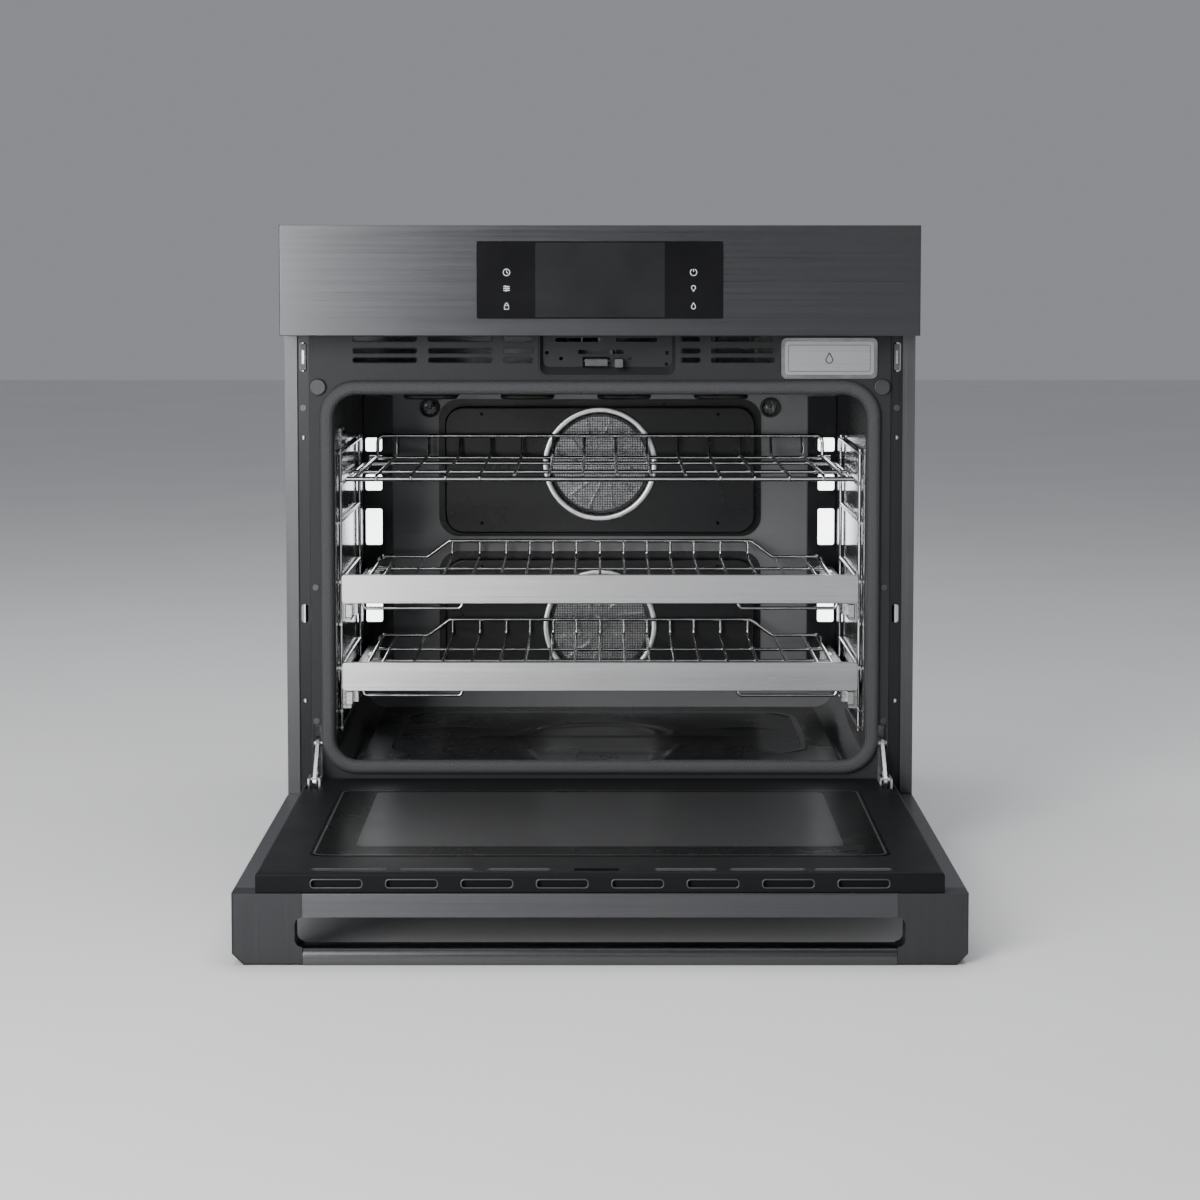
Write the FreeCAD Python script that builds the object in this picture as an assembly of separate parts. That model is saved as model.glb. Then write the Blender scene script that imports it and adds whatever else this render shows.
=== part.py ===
import FreeCAD, Part
import math
import os

# Wall oven, millimetres. +X to the right of a person facing it, +Y into the cabinet, +Z up.
# y = 0 is the cabinet face, z = 0 is the underside of the chassis, x = 0 is the centre.

Vector = FreeCAD.Vector
os.makedirs("parts", exist_ok=True)

# driving dimensions
overall_width = 759.0
overall_top = 733.0
panel_front = -58.0
panel_bottom = 601.9
panel_back = -4.0
chassis_width = 717.0
chassis_depth = 590.0
chassis_top = 722.0
sheet_steel = 1.5
frame_front = -3.0
frame_half = 350.0
cavity_half = 320.0
cavity_floor = 80.6
cavity_ceiling = 532.6
cavity_rear = 472.0
cavity_wall = 2.0
deck_top = 547.7
gasket_mid = 329.5
gasket_top = 538.6
gasket_bottom = 77.3
gasket_width = 17.0
gasket_front = -12.2
door_front = 19.6
door_split = 44.6
door_top = 65.6
door_far = -592.0
door_near = -6.0
liner_half = 354.5
hinge_y = -36.0
hinge_z = 42.2
link_y = 5.0
link_z = 105.0
link_pin_y = -41.4
link_pin_z = 67.6
hinge_x = 343.0
rail_front = 30.0
rail_length = 416.0
upper_rack_z = 425.6
middle_rack_z = 288.6
lower_rack_z = 181.3
rack_back = 442.0
fan_upper_z = 414.8
fan_lower_z = 194.1
fan_guard_radius = 77.7
half = overall_width / 2


def box(x0, x1, y0, y1, z0, z1):
    return Part.makeBox(x1 - x0, y1 - y0, z1 - z0, Vector(x0, y0, z0))


def soft_box(x0, x1, y0, y1, z0, z1, radius, axis):
    """A box whose four edges along one axis are rounded."""
    body = box(x0, x1, y0, y1, z0, z1)
    way = {"x": Vector(1, 0, 0), "y": Vector(0, 1, 0), "z": Vector(0, 0, 1)}[axis]
    edges = [e for e in body.Edges if abs(e.tangentAt(e.FirstParameter).dot(way)) > 0.99]
    return body.makeFillet(radius, edges)


def rod(start, end, radius):
    a, b = Vector(*start), Vector(*end)
    return Part.makeCylinder(radius, (b - a).Length, a, b - a)


def disc(x, z, y0, y1, radius):
    """A cylinder along the oven's depth."""
    return rod((x, y0, z), (x, y1, z), radius)


def ring(x, z, y0, y1, outer, inner):
    return disc(x, z, y0, y1, outer).cut(disc(x, z, y0 - 1, y1 + 1, inner))


def bent(points, radius, bend):
    """A wire of round section along straight runs joined by arcs."""
    pts = [Vector(*p) for p in points]
    edges = []
    start = pts[0]
    for a, b, c in zip(pts, pts[1:], pts[2:]):
        u = (a - b).normalize()
        v = (c - b).normalize()
        angle = u.getAngle(v) / 2
        p = b + u * (bend / math.tan(angle))
        q = b + v * (bend / math.tan(angle))
        centre = b + (u + v).normalize() * (bend / math.sin(angle))
        middle = centre + (b - centre).normalize() * bend
        edges.append(Part.makeLine(start, p))
        edges.append(Part.Arc(p, middle, q).toShape())
        start = q
    edges.append(Part.makeLine(start, pts[-1]))
    profile = Part.Wire([Part.makeCircle(radius, pts[0], pts[1] - pts[0])])
    return Part.Wire(edges).makePipeShell([profile], True, False)


def edges_at(body, y):
    """The edges that lie flat in the plane at depth y."""
    return [e for e in body.Edges if abs(e.BoundBox.YMax - y) < 0.01 and abs(e.BoundBox.YMin - y) < 0.01]


def edges_along_x(body, y, z):
    """The edges along the oven's width at depth y and height z."""
    found = []
    for e in body.Edges:
        b = e.BoundBox
        if b.XLength > 1 and max(abs(b.YMin - y), abs(b.YMax - y), abs(b.ZMin - z), abs(b.ZMax - z)) < 0.01:
            found.append(e)
    return found


def drafted(front, back, y0, y1):
    """A block between two rounded outlines, each (x0, x1, z0, z1, radius)."""
    wires = []
    for (x0, x1, z0, z1, radius), y in ((front, y0), (back, y1)):
        plate = soft_box(x0, x1, y, y + 1, z0, z1, radius, "y")
        face = min(plate.Faces, key=lambda f: f.CenterOfMass.y)
        wires.append(face.OuterWire)
    return Part.makeLoft(wires, True, True)


def fuse(shapes):
    return shapes[0].multiFuse(shapes[1:]) if len(shapes) > 1 else shapes[0]


def mirrored(shape):
    return shape.mirror(Vector(0, 0, 0), Vector(1, 0, 0))


def both(shape):
    return Part.makeCompound([shape, mirrored(shape)])


def save(name, *shapes):
    solids = [s for shape in shapes for s in shape.Solids]
    part = solids[0] if len(solids) == 1 else Part.makeCompound(solids)
    part.exportStep(f"parts/{name}.step")
    print(name, len(solids), round(part.Volume / 1000, 1), "cm3")


# chassis shell
side = chassis_width / 2
side_wall = box(side - sheet_steel, side, 0, chassis_depth, 0, chassis_top)
for k in range(6):
    side_wall = side_wall.cut(soft_box(side - 5, side + 5, 470, 540, 600 + 14 * k, 605 + 14 * k, 2.4, "x"))
save("side_panels", both(side_wall))

inner_side = side - sheet_steel
base = box(-inner_side, inner_side, 0, chassis_depth - sheet_steel, 0, sheet_steel)
base = base.fuse(box(-inner_side, inner_side, 0, sheet_steel, sheet_steel, 18))
for k in range(7):
    base = base.cut(soft_box(-240 + 70 * k, -200 + 70 * k, 300, 306, -1, 3, 2.9, "z"))
save("base_pan", base)

cover = box(-inner_side, inner_side, 0, chassis_depth - sheet_steel, chassis_top - sheet_steel, chassis_top)
for row in range(3):
    for k in range(8):
        x, y = -280 + 72 * k, 420 + 20 * row
        cover = cover.cut(soft_box(x, x + 44, y, y + 6, chassis_top - 5, chassis_top + 5, 2.9, "z"))
save("top_cover", cover)

bushing_x = -285.0
bushing_z = 672.0
rear = box(-inner_side, inner_side, chassis_depth - sheet_steel, chassis_depth, 0, chassis_top)
for row in range(5):
    for k in range(6):
        x = -170 + 60 * k
        rear = rear.cut(soft_box(x, x + 40, 580, 600, 585 + 16 * row, 590 + 16 * row, 2.4, "y"))
rear = rear.cut(disc(bushing_x, bushing_z, 580, 600, 11.2))
save("rear_cover", rear)

# front frame with the mouth, vent slots, latch pocket and reservoir opening
mouth_low = 84.0
mouth_high = 531.0
frame = box(-frame_half, frame_half, frame_front, frame_front + sheet_steel, 20, 700)
frame = frame.cut(soft_box(-cavity_half, cavity_half, -10, 10, mouth_low, mouth_high, 28, "y"))
vent_columns = [(-297.3, -220.5), (-206.6, -129.8), (-116.3, -80.2), (96.1, 120.8), (133.5, 210.5)]
for low in (593.8, 579.5, 568.4):
    for x0, x1 in vent_columns:
        frame = frame.cut(soft_box(x0, x1, -10, 10, low, low + 6, 2.9, "y"))
pocket_left, pocket_right, pocket_low, pocket_high = -74.4, 92.8, 551.4, 640.0
frame = frame.cut(soft_box(pocket_left, pocket_right, -10, 10, pocket_low, pocket_high, 12, "y"))
frame = frame.cut(soft_box(217.4, 334.2, -10, 10, 548.8, 598.8, 7.5, "y"))
for sign in (-1, 1):
    frame = frame.cut(box(sign * hinge_x - 5.5, sign * hinge_x + 5.5, -10, 10, 26, 128))
for x in (-300, -120, 120, 300):
    frame = frame.cut(box(x - 20, x + 20, -10, 10, 640, 690))
save("front_frame", frame)

bottom_trim = box(-frame_half, frame_half, -9, -1.5, 0, 9.0)
bottom_trim = bottom_trim.cut(box(-frame_half + 2, frame_half - 2, -7.5, 0, 1.5, 7.5))
for k in range(16):
    x = -315 + 40 * k
    bottom_trim = bottom_trim.cut(soft_box(x, x + 30, -12, -5, 3, 6, 1.4, "y"))

# side trims: a bright flange, a return and a recessed channel
trim_inner, trim_outer, trim_low = 364.4, 379.3, 12.0
trim = box(trim_inner, trim_outer, -4.2, -3.0, trim_low, panel_bottom - 0.6)
trim = trim.fuse(box(trim_outer - 1.2, trim_outer, -4.2, 0, trim_low, panel_bottom - 0.6))
trim = trim.fuse(box(trim_inner, trim_inner + 1.2, -4.2, 0, trim_low, panel_bottom - 0.6))
trim = trim.fuse(box(350.4, trim_inner + 1.2, -1.2, 0, trim_low, panel_bottom - 0.6))
trim = trim.cut(soft_box(353, 362, -5, 5, 557.6, 592.6, 3, "y"))
trim = trim.cut(soft_box(353.5, 361.5, -5, 5, 253.6, 275.6, 3, "y"))
screw_hole_high, screw_hole_low = 478.0, 158.0
for z in (screw_hole_high, screw_hole_low):
    trim = trim.cut(disc(357.5, z, -5, 5, 2.3))
trim = trim.removeSplitter()
save("front_trims", both(trim), bottom_trim)

screws = []
for sign in (-1, 1):
    for x, z, y in ((357.5, 514.0, -1.2), (344.0, 296.5, frame_front), (344.0, 133.6, frame_front),
                    (340.0, 24.6, frame_front)):
        head = disc(sign * x, z, y - 1.8, y, 3.6)
        slot = box(sign * x - 3, sign * x + 3, y - 2.2, y - 1.0, z - 0.5, z + 0.5)
        cross = box(sign * x - 0.5, sign * x + 0.5, y - 2.2, y - 1.0, z - 3, z + 3)
        screws.append(head.cut(slot).cut(cross))
save("frame_screws", *screws)

# cavity: a wrapped sheet, a back wall and a stamped floor
wrap_half = cavity_half + cavity_wall
wrap_low, wrap_high = cavity_floor - cavity_wall, cavity_ceiling + cavity_wall
wrap = soft_box(-wrap_half, wrap_half, frame_front + sheet_steel, cavity_rear, wrap_low, wrap_high, 30, "y")
hollow = soft_box(-cavity_half, cavity_half, -20, cavity_rear + 20, cavity_floor, cavity_ceiling, 28, "y")
wrap = wrap.cut(hollow)
socket_y, socket_z = 92.0, 472.6
wrap = wrap.cut(rod((-330, socket_y, socket_z), (-310, socket_y, socket_z), 8.2))
nozzle_x, nozzle_y = 150.0, 330.0
wrap = wrap.cut(rod((nozzle_x, nozzle_y, 520), (nozzle_x, nozzle_y, 540), 5.2))
emboss = soft_box(-262, 262, 70, 420, cavity_floor, cavity_floor + 1.2, 60, "z")
emboss = emboss.cut(soft_box(-254, 254, 78, 412, cavity_floor - 1, cavity_floor + 3, 52, "z"))
wrap = wrap.fuse(emboss)
save("oven_cavity", wrap)

back = soft_box(-wrap_half, wrap_half, cavity_rear, cavity_rear + cavity_wall, wrap_low, wrap_high, 30, "y")
for z in (fan_upper_z, fan_lower_z):
    back = back.cut(disc(0, z, 460, 480, 6.5))
    for x in (-95, -83):
        back = back.cut(disc(x, z - 60, 460, 480, 3.6))
lamp_x, lamp_z = 231.0, 490.6
for x in (-lamp_x, lamp_x):
    back = back.cut(disc(x, lamp_z, 460, 480, 11.2))
sensor_x, sensor_z = 0.0, 520.6
back = back.cut(disc(sensor_x, sensor_z, 460, 480, 3.4))
broil_z = 523.0
for x in (-30, 30):
    back = back.cut(disc(x, broil_z, 460, 480, 3.6))
for x0 in (-279.5, 221.5):
    back = back.fuse(soft_box(x0, x0 + 58, cavity_rear - 1.2, cavity_rear, 312.6, 318.6, 2.5, "y"))
save("cavity_back", back)

# insulation: a wrap round the cavity and a slab behind it
blanket = soft_box(-354, 354, 6, 500, 42, 545, 30, "y")
blanket = blanket.cut(soft_box(-324, 324, 0, 475, 62, 536, 24, "y"))
for z in (fan_upper_z, fan_lower_z):
    blanket = blanket.cut(disc(0, z, 470, 510, 52))
    blanket = blanket.cut(disc(-89, z - 60, 470, 510, 14))
for x in (-lamp_x, lamp_x):
    blanket = blanket.cut(disc(x, lamp_z, 470, 510, 17))
blanket = blanket.cut(box(-45, 75, 470, 510, 505, 532))
blanket = blanket.cut(rod((-360, socket_y, socket_z), (-320, socket_y, socket_z), 12))
blanket = blanket.cut(rod((nozzle_x, nozzle_y, 530), (nozzle_x, nozzle_y, 550), 8))
for sign in (-1, 1):
    blanket = blanket.cut(box(sign * hinge_x - 12, sign * hinge_x + 12, 0, 50, 20, 135))
for x in (-70, 70):
    blanket = blanket.cut(box(x - 12, x + 12, 440, 510, 40, 64))
save("insulation_blanket", *blanket.Solids)

# door gasket
outer = gasket_mid + gasket_width / 2
inner = gasket_mid - gasket_width / 2
seal = soft_box(-outer, outer, gasket_front, frame_front, gasket_bottom - 8.5, gasket_top + 8.5, 44, "y")
seal = seal.cut(soft_box(-inner, inner, -20, 5, gasket_bottom + 8.5, gasket_top - 8.5, 28, "y"))
seal = seal.makeFillet(7.5, edges_at(seal, gasket_front))
save("door_gasket", seal)

caps = [disc(x, 539.1, frame_front - 4.5, frame_front, 9.9) for x in (-339.6, 339.6)]
caps = [c.makeFillet(1.5, edges_at(c, frame_front - 4.5)) for c in caps]
save("bumper_caps", *caps)

# deck above the insulation that carries the pump, boiler, blower and latch
deck = box(-354, 354, 6, 560, deck_top - 1.5, deck_top)
deck = deck.cut(rod((nozzle_x, nozzle_y, 540), (nozzle_x, nozzle_y, 550), 5.2))
for x in (-300, -240, 250, 300):
    deck = deck.cut(soft_box(x - 22, x + 22, 470, 478, 540, 550, 3.9, "z"))
save("component_deck", deck)

# latch pocket: a drafted tray behind the frame with a window, a latch hook and a switch plunger
tray_left, tray_right, tray_low, tray_high = pocket_left + 0.6, pocket_right - 0.6, pocket_low + 0.6, 628.0
pocket = soft_box(pocket_left - 6, pocket_right + 6, -1.5, 0.0, pocket_low - 6, 634, 12, "y")
mouth = (tray_left, tray_right, tray_low, tray_high, 11)
floor = (tray_left + 3.6, tray_right - 3.6, tray_low + 9.6, tray_high - 3.6, 9)
pocket = pocket.fuse(drafted(mouth, floor, -1.5, 9.5))
mouth = (tray_left + 1.5, tray_right - 1.5, tray_low + 1.5, tray_high - 1.5, 9.5)
floor = (tray_left + 5.1, tray_right - 5.1, tray_low + 11.1, tray_high - 5.1, 7.5)
pocket = pocket.cut(drafted(mouth, floor, -1.6, 8.0))
hook_x0, hook_x1, hook_z = -18.0, 9.0, 569.5
pocket = pocket.cut(box(-21, 12, 5, 20, 562.2, 575))
pocket = pocket.cut(soft_box(-26.7, 29, 5, 20, 578.5, 583.5, 2.4, "y"))
plunger_x, plunger_z = 22.5, 568.0
plunger_gap = 5.6
x0, x1, z0, z1 = [v + d for v in (plunger_x, plunger_z) for d in (-plunger_gap, plunger_gap)]
pocket = pocket.cut(soft_box(x0, x1, 5, 20, z0, z1, 2, "y"))
for x0, x1 in ((-54, 1), (19, 69)):
    pocket = pocket.cut(soft_box(x0, x1, 5, 20, 593, 598, 2.4, "y"))
for x, z in ((-64, 580), (-47, 573), (36, 573), (81, 580), (80, 566)):
    pocket = pocket.cut(disc(x, z, 5, 20, 2.2))
save("latch_pocket", pocket)

hook_y = 12.0
latch = box(-28, 15, 9.8, 40, deck_top, deck_top + 2)
latch = latch.fuse(box(-28, -26, 9.8, 40, deck_top, 588)).fuse(box(13, 15, 9.8, 40, deck_top, 588))
latch = latch.fuse(rod((-28, hook_y + 4, hook_z), (15, hook_y + 4, hook_z), 2.5))
latch = latch.fuse(box(-28, 15, 38, 40, deck_top, 588))

hook = rod((hook_x0, hook_y + 4, hook_z), (hook_x1, hook_y + 4, hook_z), 5.5)
hook = hook.fuse(box(hook_x0, hook_x1, -2, hook_y + 4, hook_z - 5.0, hook_z - 1.6))
hook = hook.fuse(box(hook_x0, hook_x1, -4, -1, hook_z - 5.0, hook_z + 3))
hook = hook.cut(rod((hook_x0 - 1, hook_y + 4, hook_z), (hook_x1 + 1, hook_y + 4, hook_z), 2.55))
save("latch_hook", hook.removeSplitter())

plunger = soft_box(plunger_x - 5, plunger_x + 5, -11.9, 20, plunger_z - 5, plunger_z + 5, 1.8, "y")
save("door_switch_plunger", plunger)
switch = box(plunger_x + 8, plunger_x + 14, 14, 34, plunger_z - 8, plunger_z + 8)
switch = switch.fuse(box(plunger_x - 7, plunger_x + 14, 26, 34, deck_top, plunger_z + 8))
save("latch_bracket", latch, switch)

# fan baffles, guards, wheels, ring elements and motors
guards, elements = [], []
baffle_front = 453.0
for name, z, low, high in (("upper", fan_upper_z, 315.3, 502.0), ("lower", fan_lower_z, 108.6, 294.9)):
    flange = soft_box(-219, 219, 470.6, 472, low, high, 27, "y")
    pan = soft_box(-210, 210, baffle_front, 471, low + 5.3, high - 9.4, 25, "y")
    pan = pan.makeFillet(3, edges_at(pan, baffle_front))
    hollow = soft_box(-208.6, 208.6, baffle_front + 1.4, 480, low + 6.7, high - 10.8, 23.6, "y")
    baffle = flange.fuse(pan).cut(hollow)
    baffle = baffle.cut(disc(0, z, 430, 460, 69.5))
    middle = (low + high) / 2
    for sign in (-1, 1):
        for dz in (-60, -20, 20, 60):
            x, height = sign * 209.3, middle + dz
            baffle = baffle.cut(soft_box(x - 3, x + 3, 459, 467, height - 9, height + 9, 2.5, "x"))
        for dz in (-74, 74):
            baffle = baffle.cut(disc(sign * 160, middle + dz, 440, 460, 2.2))
    save(name + "_fan_baffle", baffle)

    guard_front = baffle_front - 3.6
    guard = ring(0, z, guard_front, baffle_front, fan_guard_radius, 69.7)
    guard = guard.makeFillet(1.2, edges_at(guard, guard_front))
    wires = []
    pitch = 7.6
    for k in range(-9, 10):
        at = k * pitch
        reach = math.sqrt(71.0 ** 2 - at ** 2)
        wires.append(rod((-reach, guard_front + 1.5, z + at), (reach, guard_front + 1.5, z + at), 0.8))
        wires.append(rod((at, guard_front + 2.7, z - reach), (at, guard_front + 2.7, z + reach), 0.8))
    guards.append(fuse([guard] + wires))

    wheel = disc(0, z, 466.6, 468, 64).fuse(disc(0, z, 456.4, 468, 11)).fuse(disc(0, z, 460, 520, 4))
    for k in range(12):
        blade = Part.makeBox(36, 10, 1.6, Vector(27, 457.0, -0.8))
        blade.rotate(Vector(27, 0, 0), Vector(0, 1, 0), 24)
        blade.rotate(Vector(0, 0, 0), Vector(0, 1, 0), 30 * k)
        blade.translate(Vector(0, 0, z))
        wheel = wheel.fuse(blade)
    save(name + "_fan_wheel", wheel)

    circle = Part.Wire([Part.makeCircle(70.5, Vector(0, 462.2, z), Vector(0, 1, 0), 0, 316)])
    start = circle.Edges[0].valueAt(circle.Edges[0].FirstParameter)
    way = circle.Edges[0].tangentAt(circle.Edges[0].FirstParameter)
    loop = circle.makePipeShell([Part.Wire([Part.makeCircle(3.2, start, way)])], True, False)
    elements.append(loop)
save("fan_guards", *guards)

motors = []
for z in (fan_upper_z, fan_lower_z):
    pieces = [disc(0, z, 504, 560, 34), disc(0, z, 498, 566, 14)]
    for angle in (45, 135, 225, 315):
        x, dz = 42 * math.cos(math.radians(angle)), 42 * math.sin(math.radians(angle))
        pieces.append(rod((x * 0.6, 513, z + dz * 0.6), (x, 513, z + dz), 3.4))
        pieces.append(disc(x, z + dz, 474, 517, 4))
    motors.append(fuse(pieces).cut(disc(0, z, 490, 530, 4.06)))

# heating elements, temperature sensor and lamps
path = [(-30, 520), (-30, 430), (-240, 430), (-240, 90), (-180, 90), (-180, 390), (-120, 390), (-120, 90)]
path += [(-60, 90), (-60, 390), (0, 390), (0, 90), (60, 90), (60, 390), (120, 390), (120, 90)]
path += [(180, 90), (180, 390), (240, 390), (240, 430), (30, 430), (30, 520)]
path = [(x, y, broil_z) for x, y in path]
elements.append(bent(path, 3.3, 14))

bake_z = 70.0
tail_z = 52.0
arm_path = [(-70, 520, tail_z), (-70, 470, tail_z), (-70, 450, bake_z), (-70, 420, bake_z)]
path = arm_path + [(-250, 420, bake_z), (-250, 80, bake_z), (250, 80, bake_z), (250, 420, bake_z)]
path += [(-x, y, height) for x, y, height in reversed(arm_path)]
elements.append(bent(path, 3.3, 7))
save("heating_elements", *elements)

sensor = disc(sensor_x, sensor_z, 410, 500, 2.4)
sensor = sensor.fuse(disc(sensor_x, sensor_z, 470.5, 472, 9)).fuse(disc(sensor_x, sensor_z, 500, 512, 5))

bezels, bulbs, lenses = [], [], []
for x in (-lamp_x, lamp_x):
    bezel = ring(x, lamp_z, 466.4, 472, 13.6, 10.6)
    bezel = bezel.makeFillet(1.4, edges_at(bezel, 466.4))
    bezels.append(bezel.fuse(ring(x, lamp_z, 470.5, 520, 11.0, 9.8)).fuse(disc(x, lamp_z, 518.5, 520, 11)))
    bulbs.append(disc(x, lamp_z, 480, 500, 4.5).fuse(disc(x, lamp_z, 499, 518, 6)))
    lenses.append(disc(x, lamp_z, 467.6, 470.4, 9.6))
save("lamp_bezels", *bezels)

# light columns in the rear corners, each with four windows and its lens strip behind
windows = [(432.6, 450.6), (379.6, 401.1), (305.6, 354.6), (200.6, 249.6)]
column = box(281, 319.2, 449, 471.9, 110, 506).cut(box(282.4, 317.8, 450.4, 473, 109, 507))
for low, high in windows:
    column = column.cut(soft_box(295, 317.0, 440, 455, low, high, 3, "y"))
save("light_columns", both(column))
strips = []
for low, high in windows:
    strips.append(box(292, 317.6, 450.6, 453.0, low - 2, high + 2))
save("light_glass", *bulbs, *lenses, *[s for strip in strips for s in (strip, mirrored(strip))])

# side ladders that carry the racks
rungs = (371.0, 299.0, 247.0, 193.0, 140.0)
post_x, ladder_top, ladder_foot = 317.2, 456.6, 120.0
ladder = [rod((post_x, y, 115), (post_x, y, 461), 2.1) for y in (40, 337)]
for z in (ladder_top, ladder_foot):
    ladder.append(rod((post_x, 34, z), (post_x, 343, z), 2.05))
for z in rungs:
    ladder.append(rod((post_x, 35, z), (post_x, 342, z), 1.95))
rest = rod((313.9, 24, 419.9), (313.9, 352, 419.9), 2.3)
ladder.append(rest)
for y in (60, 300):
    for z in (ladder_top, ladder_foot):
        ladder.append(rod((316.4, y, z), (319.9, y, z), 2.6))
save("rack_ladders", both(fuse(ladder)))

# probe socket on the left wall
socket = rod((-326, socket_y, socket_z), (-314, socket_y, socket_z), 8.0)
socket = socket.fuse(box(-319.9, -318.0, socket_y - 22, socket_y + 22, socket_z - 12, socket_z + 12))
socket = socket.cut(rod((-322, socket_y, socket_z), (-312, socket_y, socket_z), 3.4))
for dy in (-17, 17):
    socket = socket.cut(rod((-322, socket_y + dy, socket_z), (-312, socket_y + dy, socket_z), 2.0))
save("cavity_sensors", socket, sensor)


# racks
def rack_wires(z, xs, front, behind, lift, radius):
    out = []
    for x in xs:
        if lift > 1:
            out.append(bent([(x, front, z), (x, behind, z), (x, behind, z + lift)], radius, 8))
        else:
            out.append(rod((x, front, z), (x, behind, z), radius))
    return out


z = upper_rack_z
bars = [rod((-309, 30, z), (309, 30, z), 3.0)]
for y in (162, 322, rack_back - 10):
    bars.append(rod((-310.5, y, z - 0.4), (310.5, y, z - 0.4), 2.5))
wire_rise = [(rack_back - 8, z + 3.6), (rack_back, z + 28)]
for x in (-272.3, -230.4, -188.5, -146.6, 146.6, 188.5, 230.4, 272.3):
    run = [(25.6, z - 1), (27.5, z + 4.2)] + wire_rise
    bars.append(bent([(x, y, height) for y, height in run], 1.9, 3))
for x in (-104.7, -62.8, -20.9, 20.9, 62.8, 104.7):
    run = [(39, z + 3.6)] + wire_rise
    bars.append(bent([(x, y, height) for y, height in run], 1.9, 3))
bars.append(rod((-130, 40, z + 0.4), (130, 40, z + 0.4), 2.2))
for x in (-130, 130):
    bars.append(rod((x, 30, z), (x, 40, z), 2.2))
for x in (-300, 300):
    bars.append(rod((x, 30, z), (x, rack_back - 4, z), 2.8))
rail = [(-300, rack_back - 4, z), (-300, rack_back, z + 28.4)]
rail += [(-x, y, height) for x, y, height in reversed(rail)]
bars.append(bent(rail, 2.6, 9))
save("upper_rack", fuse(bars))


def glide_rack(name, z):
    """A wire rack on telescopic rails with a bright front trim."""
    trim_top, trim_bottom = z + 20.8, z - 14.0
    front = soft_box(-314.6, 314.6, 16, 25, trim_bottom, trim_top, 4, "y")
    front = front.makeFillet(0.8, edges_at(front, 16))
    front = front.cut(box(-312.6, 312.6, 17.6, 30, trim_bottom + 1.6, trim_top - 1.6))
    front = front.removeSplitter()
    save(name + "_rack_trim", front)
    bars = []
    for x in (0, 32, 63.5, 95, 127, 163, 200, 237, 276):
        for side_x in ((x,) if x == 0 else (-x, x)):
            lift = 22.6 if x < 204 else 1.0
            bars += rack_wires(z, [side_x], 26.5, rack_back, lift, 1.9)
    for y in (31, 218, 332):
        bars.append(rod((-297, y, z - 3.6), (297, y, z - 3.6), 2.3))
    for sign in (-1, 1):
        bars.append(rod((sign * 294.6, 26.5, z - 0.6), (sign * 294.6, rack_back + 1, z - 0.6), 2.6))
    top, low = z + 23.0, z + 1.6
    outline = [(-294.6, low), (-233, low), (-204, top), (204, top), (233, low), (294.6, low)]
    bars.append(bent([(x, rack_back, height) for x, height in outline], 2.4, 9))
    for sign in (-1, 1):
        low_wire = [(166, z - 4), (170, z - 21), (288, z - 21), (292, z - 4)]
        bars.append(bent([(sign * x, 29, height) for x, height in low_wire], 2.1, 5))
    save(name + "_rack", fuse(bars))

    rail_z = z - 25.0
    inner = box(303.5, 310.6, rail_front, rail_front + rail_length, rail_z - 7.6, rail_z + 7.6)
    for y in (44, 240, 420):
        arm = box(297.2, 303.5, y, y + 26, rail_z - 6, z + 1)
        inner = inner.fuse(arm.cut(box(299.2, 310, y - 1, y + 27, rail_z + 9.5, z + 3)))
    save(name + "_inner_rails", both(inner))

    middle = box(304.5, 313.0, rail_front, rail_front + rail_length - 2, rail_z - 10.2, rail_z + 10.2)
    middle = middle.cut(box(300, 311.6, 0, 500, rail_z - 8.8, rail_z + 8.8))
    save(name + "_slide_members", both(middle))

    fixed = box(304.5, 315.0, rail_front, rail_front + rail_length, rail_z - 12, rail_z + 12)
    return fixed.cut(box(300, 313.6, 0, 500, rail_z - 10.6, rail_z + 10.6))


fixed_rails = [glide_rack("middle", middle_rack_z), glide_rack("lower", lower_rack_z)]
save("fixed_rails", *[s for rail in fixed_rails for s in (rail, mirrored(rail))])

# door
seam_x, gap_half, edge_gap = 306.0, 314.0, 0.2
handle_low, grip_top, handle_back = -30.6, -11.4, -562.0
skin_top = door_split - 0.2
skin = box(-half + 0.5, half - 0.5, door_far, door_near, door_front, skin_top)
skin = skin.makeFillet(1.5, edges_along_x(skin, door_far, skin_top))
skin = skin.cut(box(-half + 2.5, half - 2.5, door_far + 2, door_near - 2, door_front + 2, door_split + 5))
skin = skin.cut(soft_box(-256, 256, -470, -120, door_front - 5, door_front + 5, 12, "z"))
for sign in (-1, 1):
    skin = skin.cut(box(sign * hinge_x - 8, sign * hinge_x + 8, -62, 0, door_front + 2, door_split + 5))
    x0, x1 = sorted((sign * (liner_half - 1.5), sign * (half - 1.5)))
    skin = skin.fuse(box(x0, x1, handle_back, door_near, skin_top - 1.6, skin_top))
    x0, x1 = sorted((sign * seam_x, sign * (half + 1)))
    skin = skin.cut(box(x0, x1, door_far - 1, handle_back + edge_gap, door_front - 1, door_split + 1))
skin = skin.removeSplitter()
save("door_skin", skin)
outer_pane = soft_box(-270, 270, -484, -106, door_front + 2.1, door_front + 6.1, 14, "z")
middle_pane = soft_box(-292, 292, -492, -104, 50, 54, 10, "z")
save("door_outer_panes", outer_pane, middle_pane)

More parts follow.
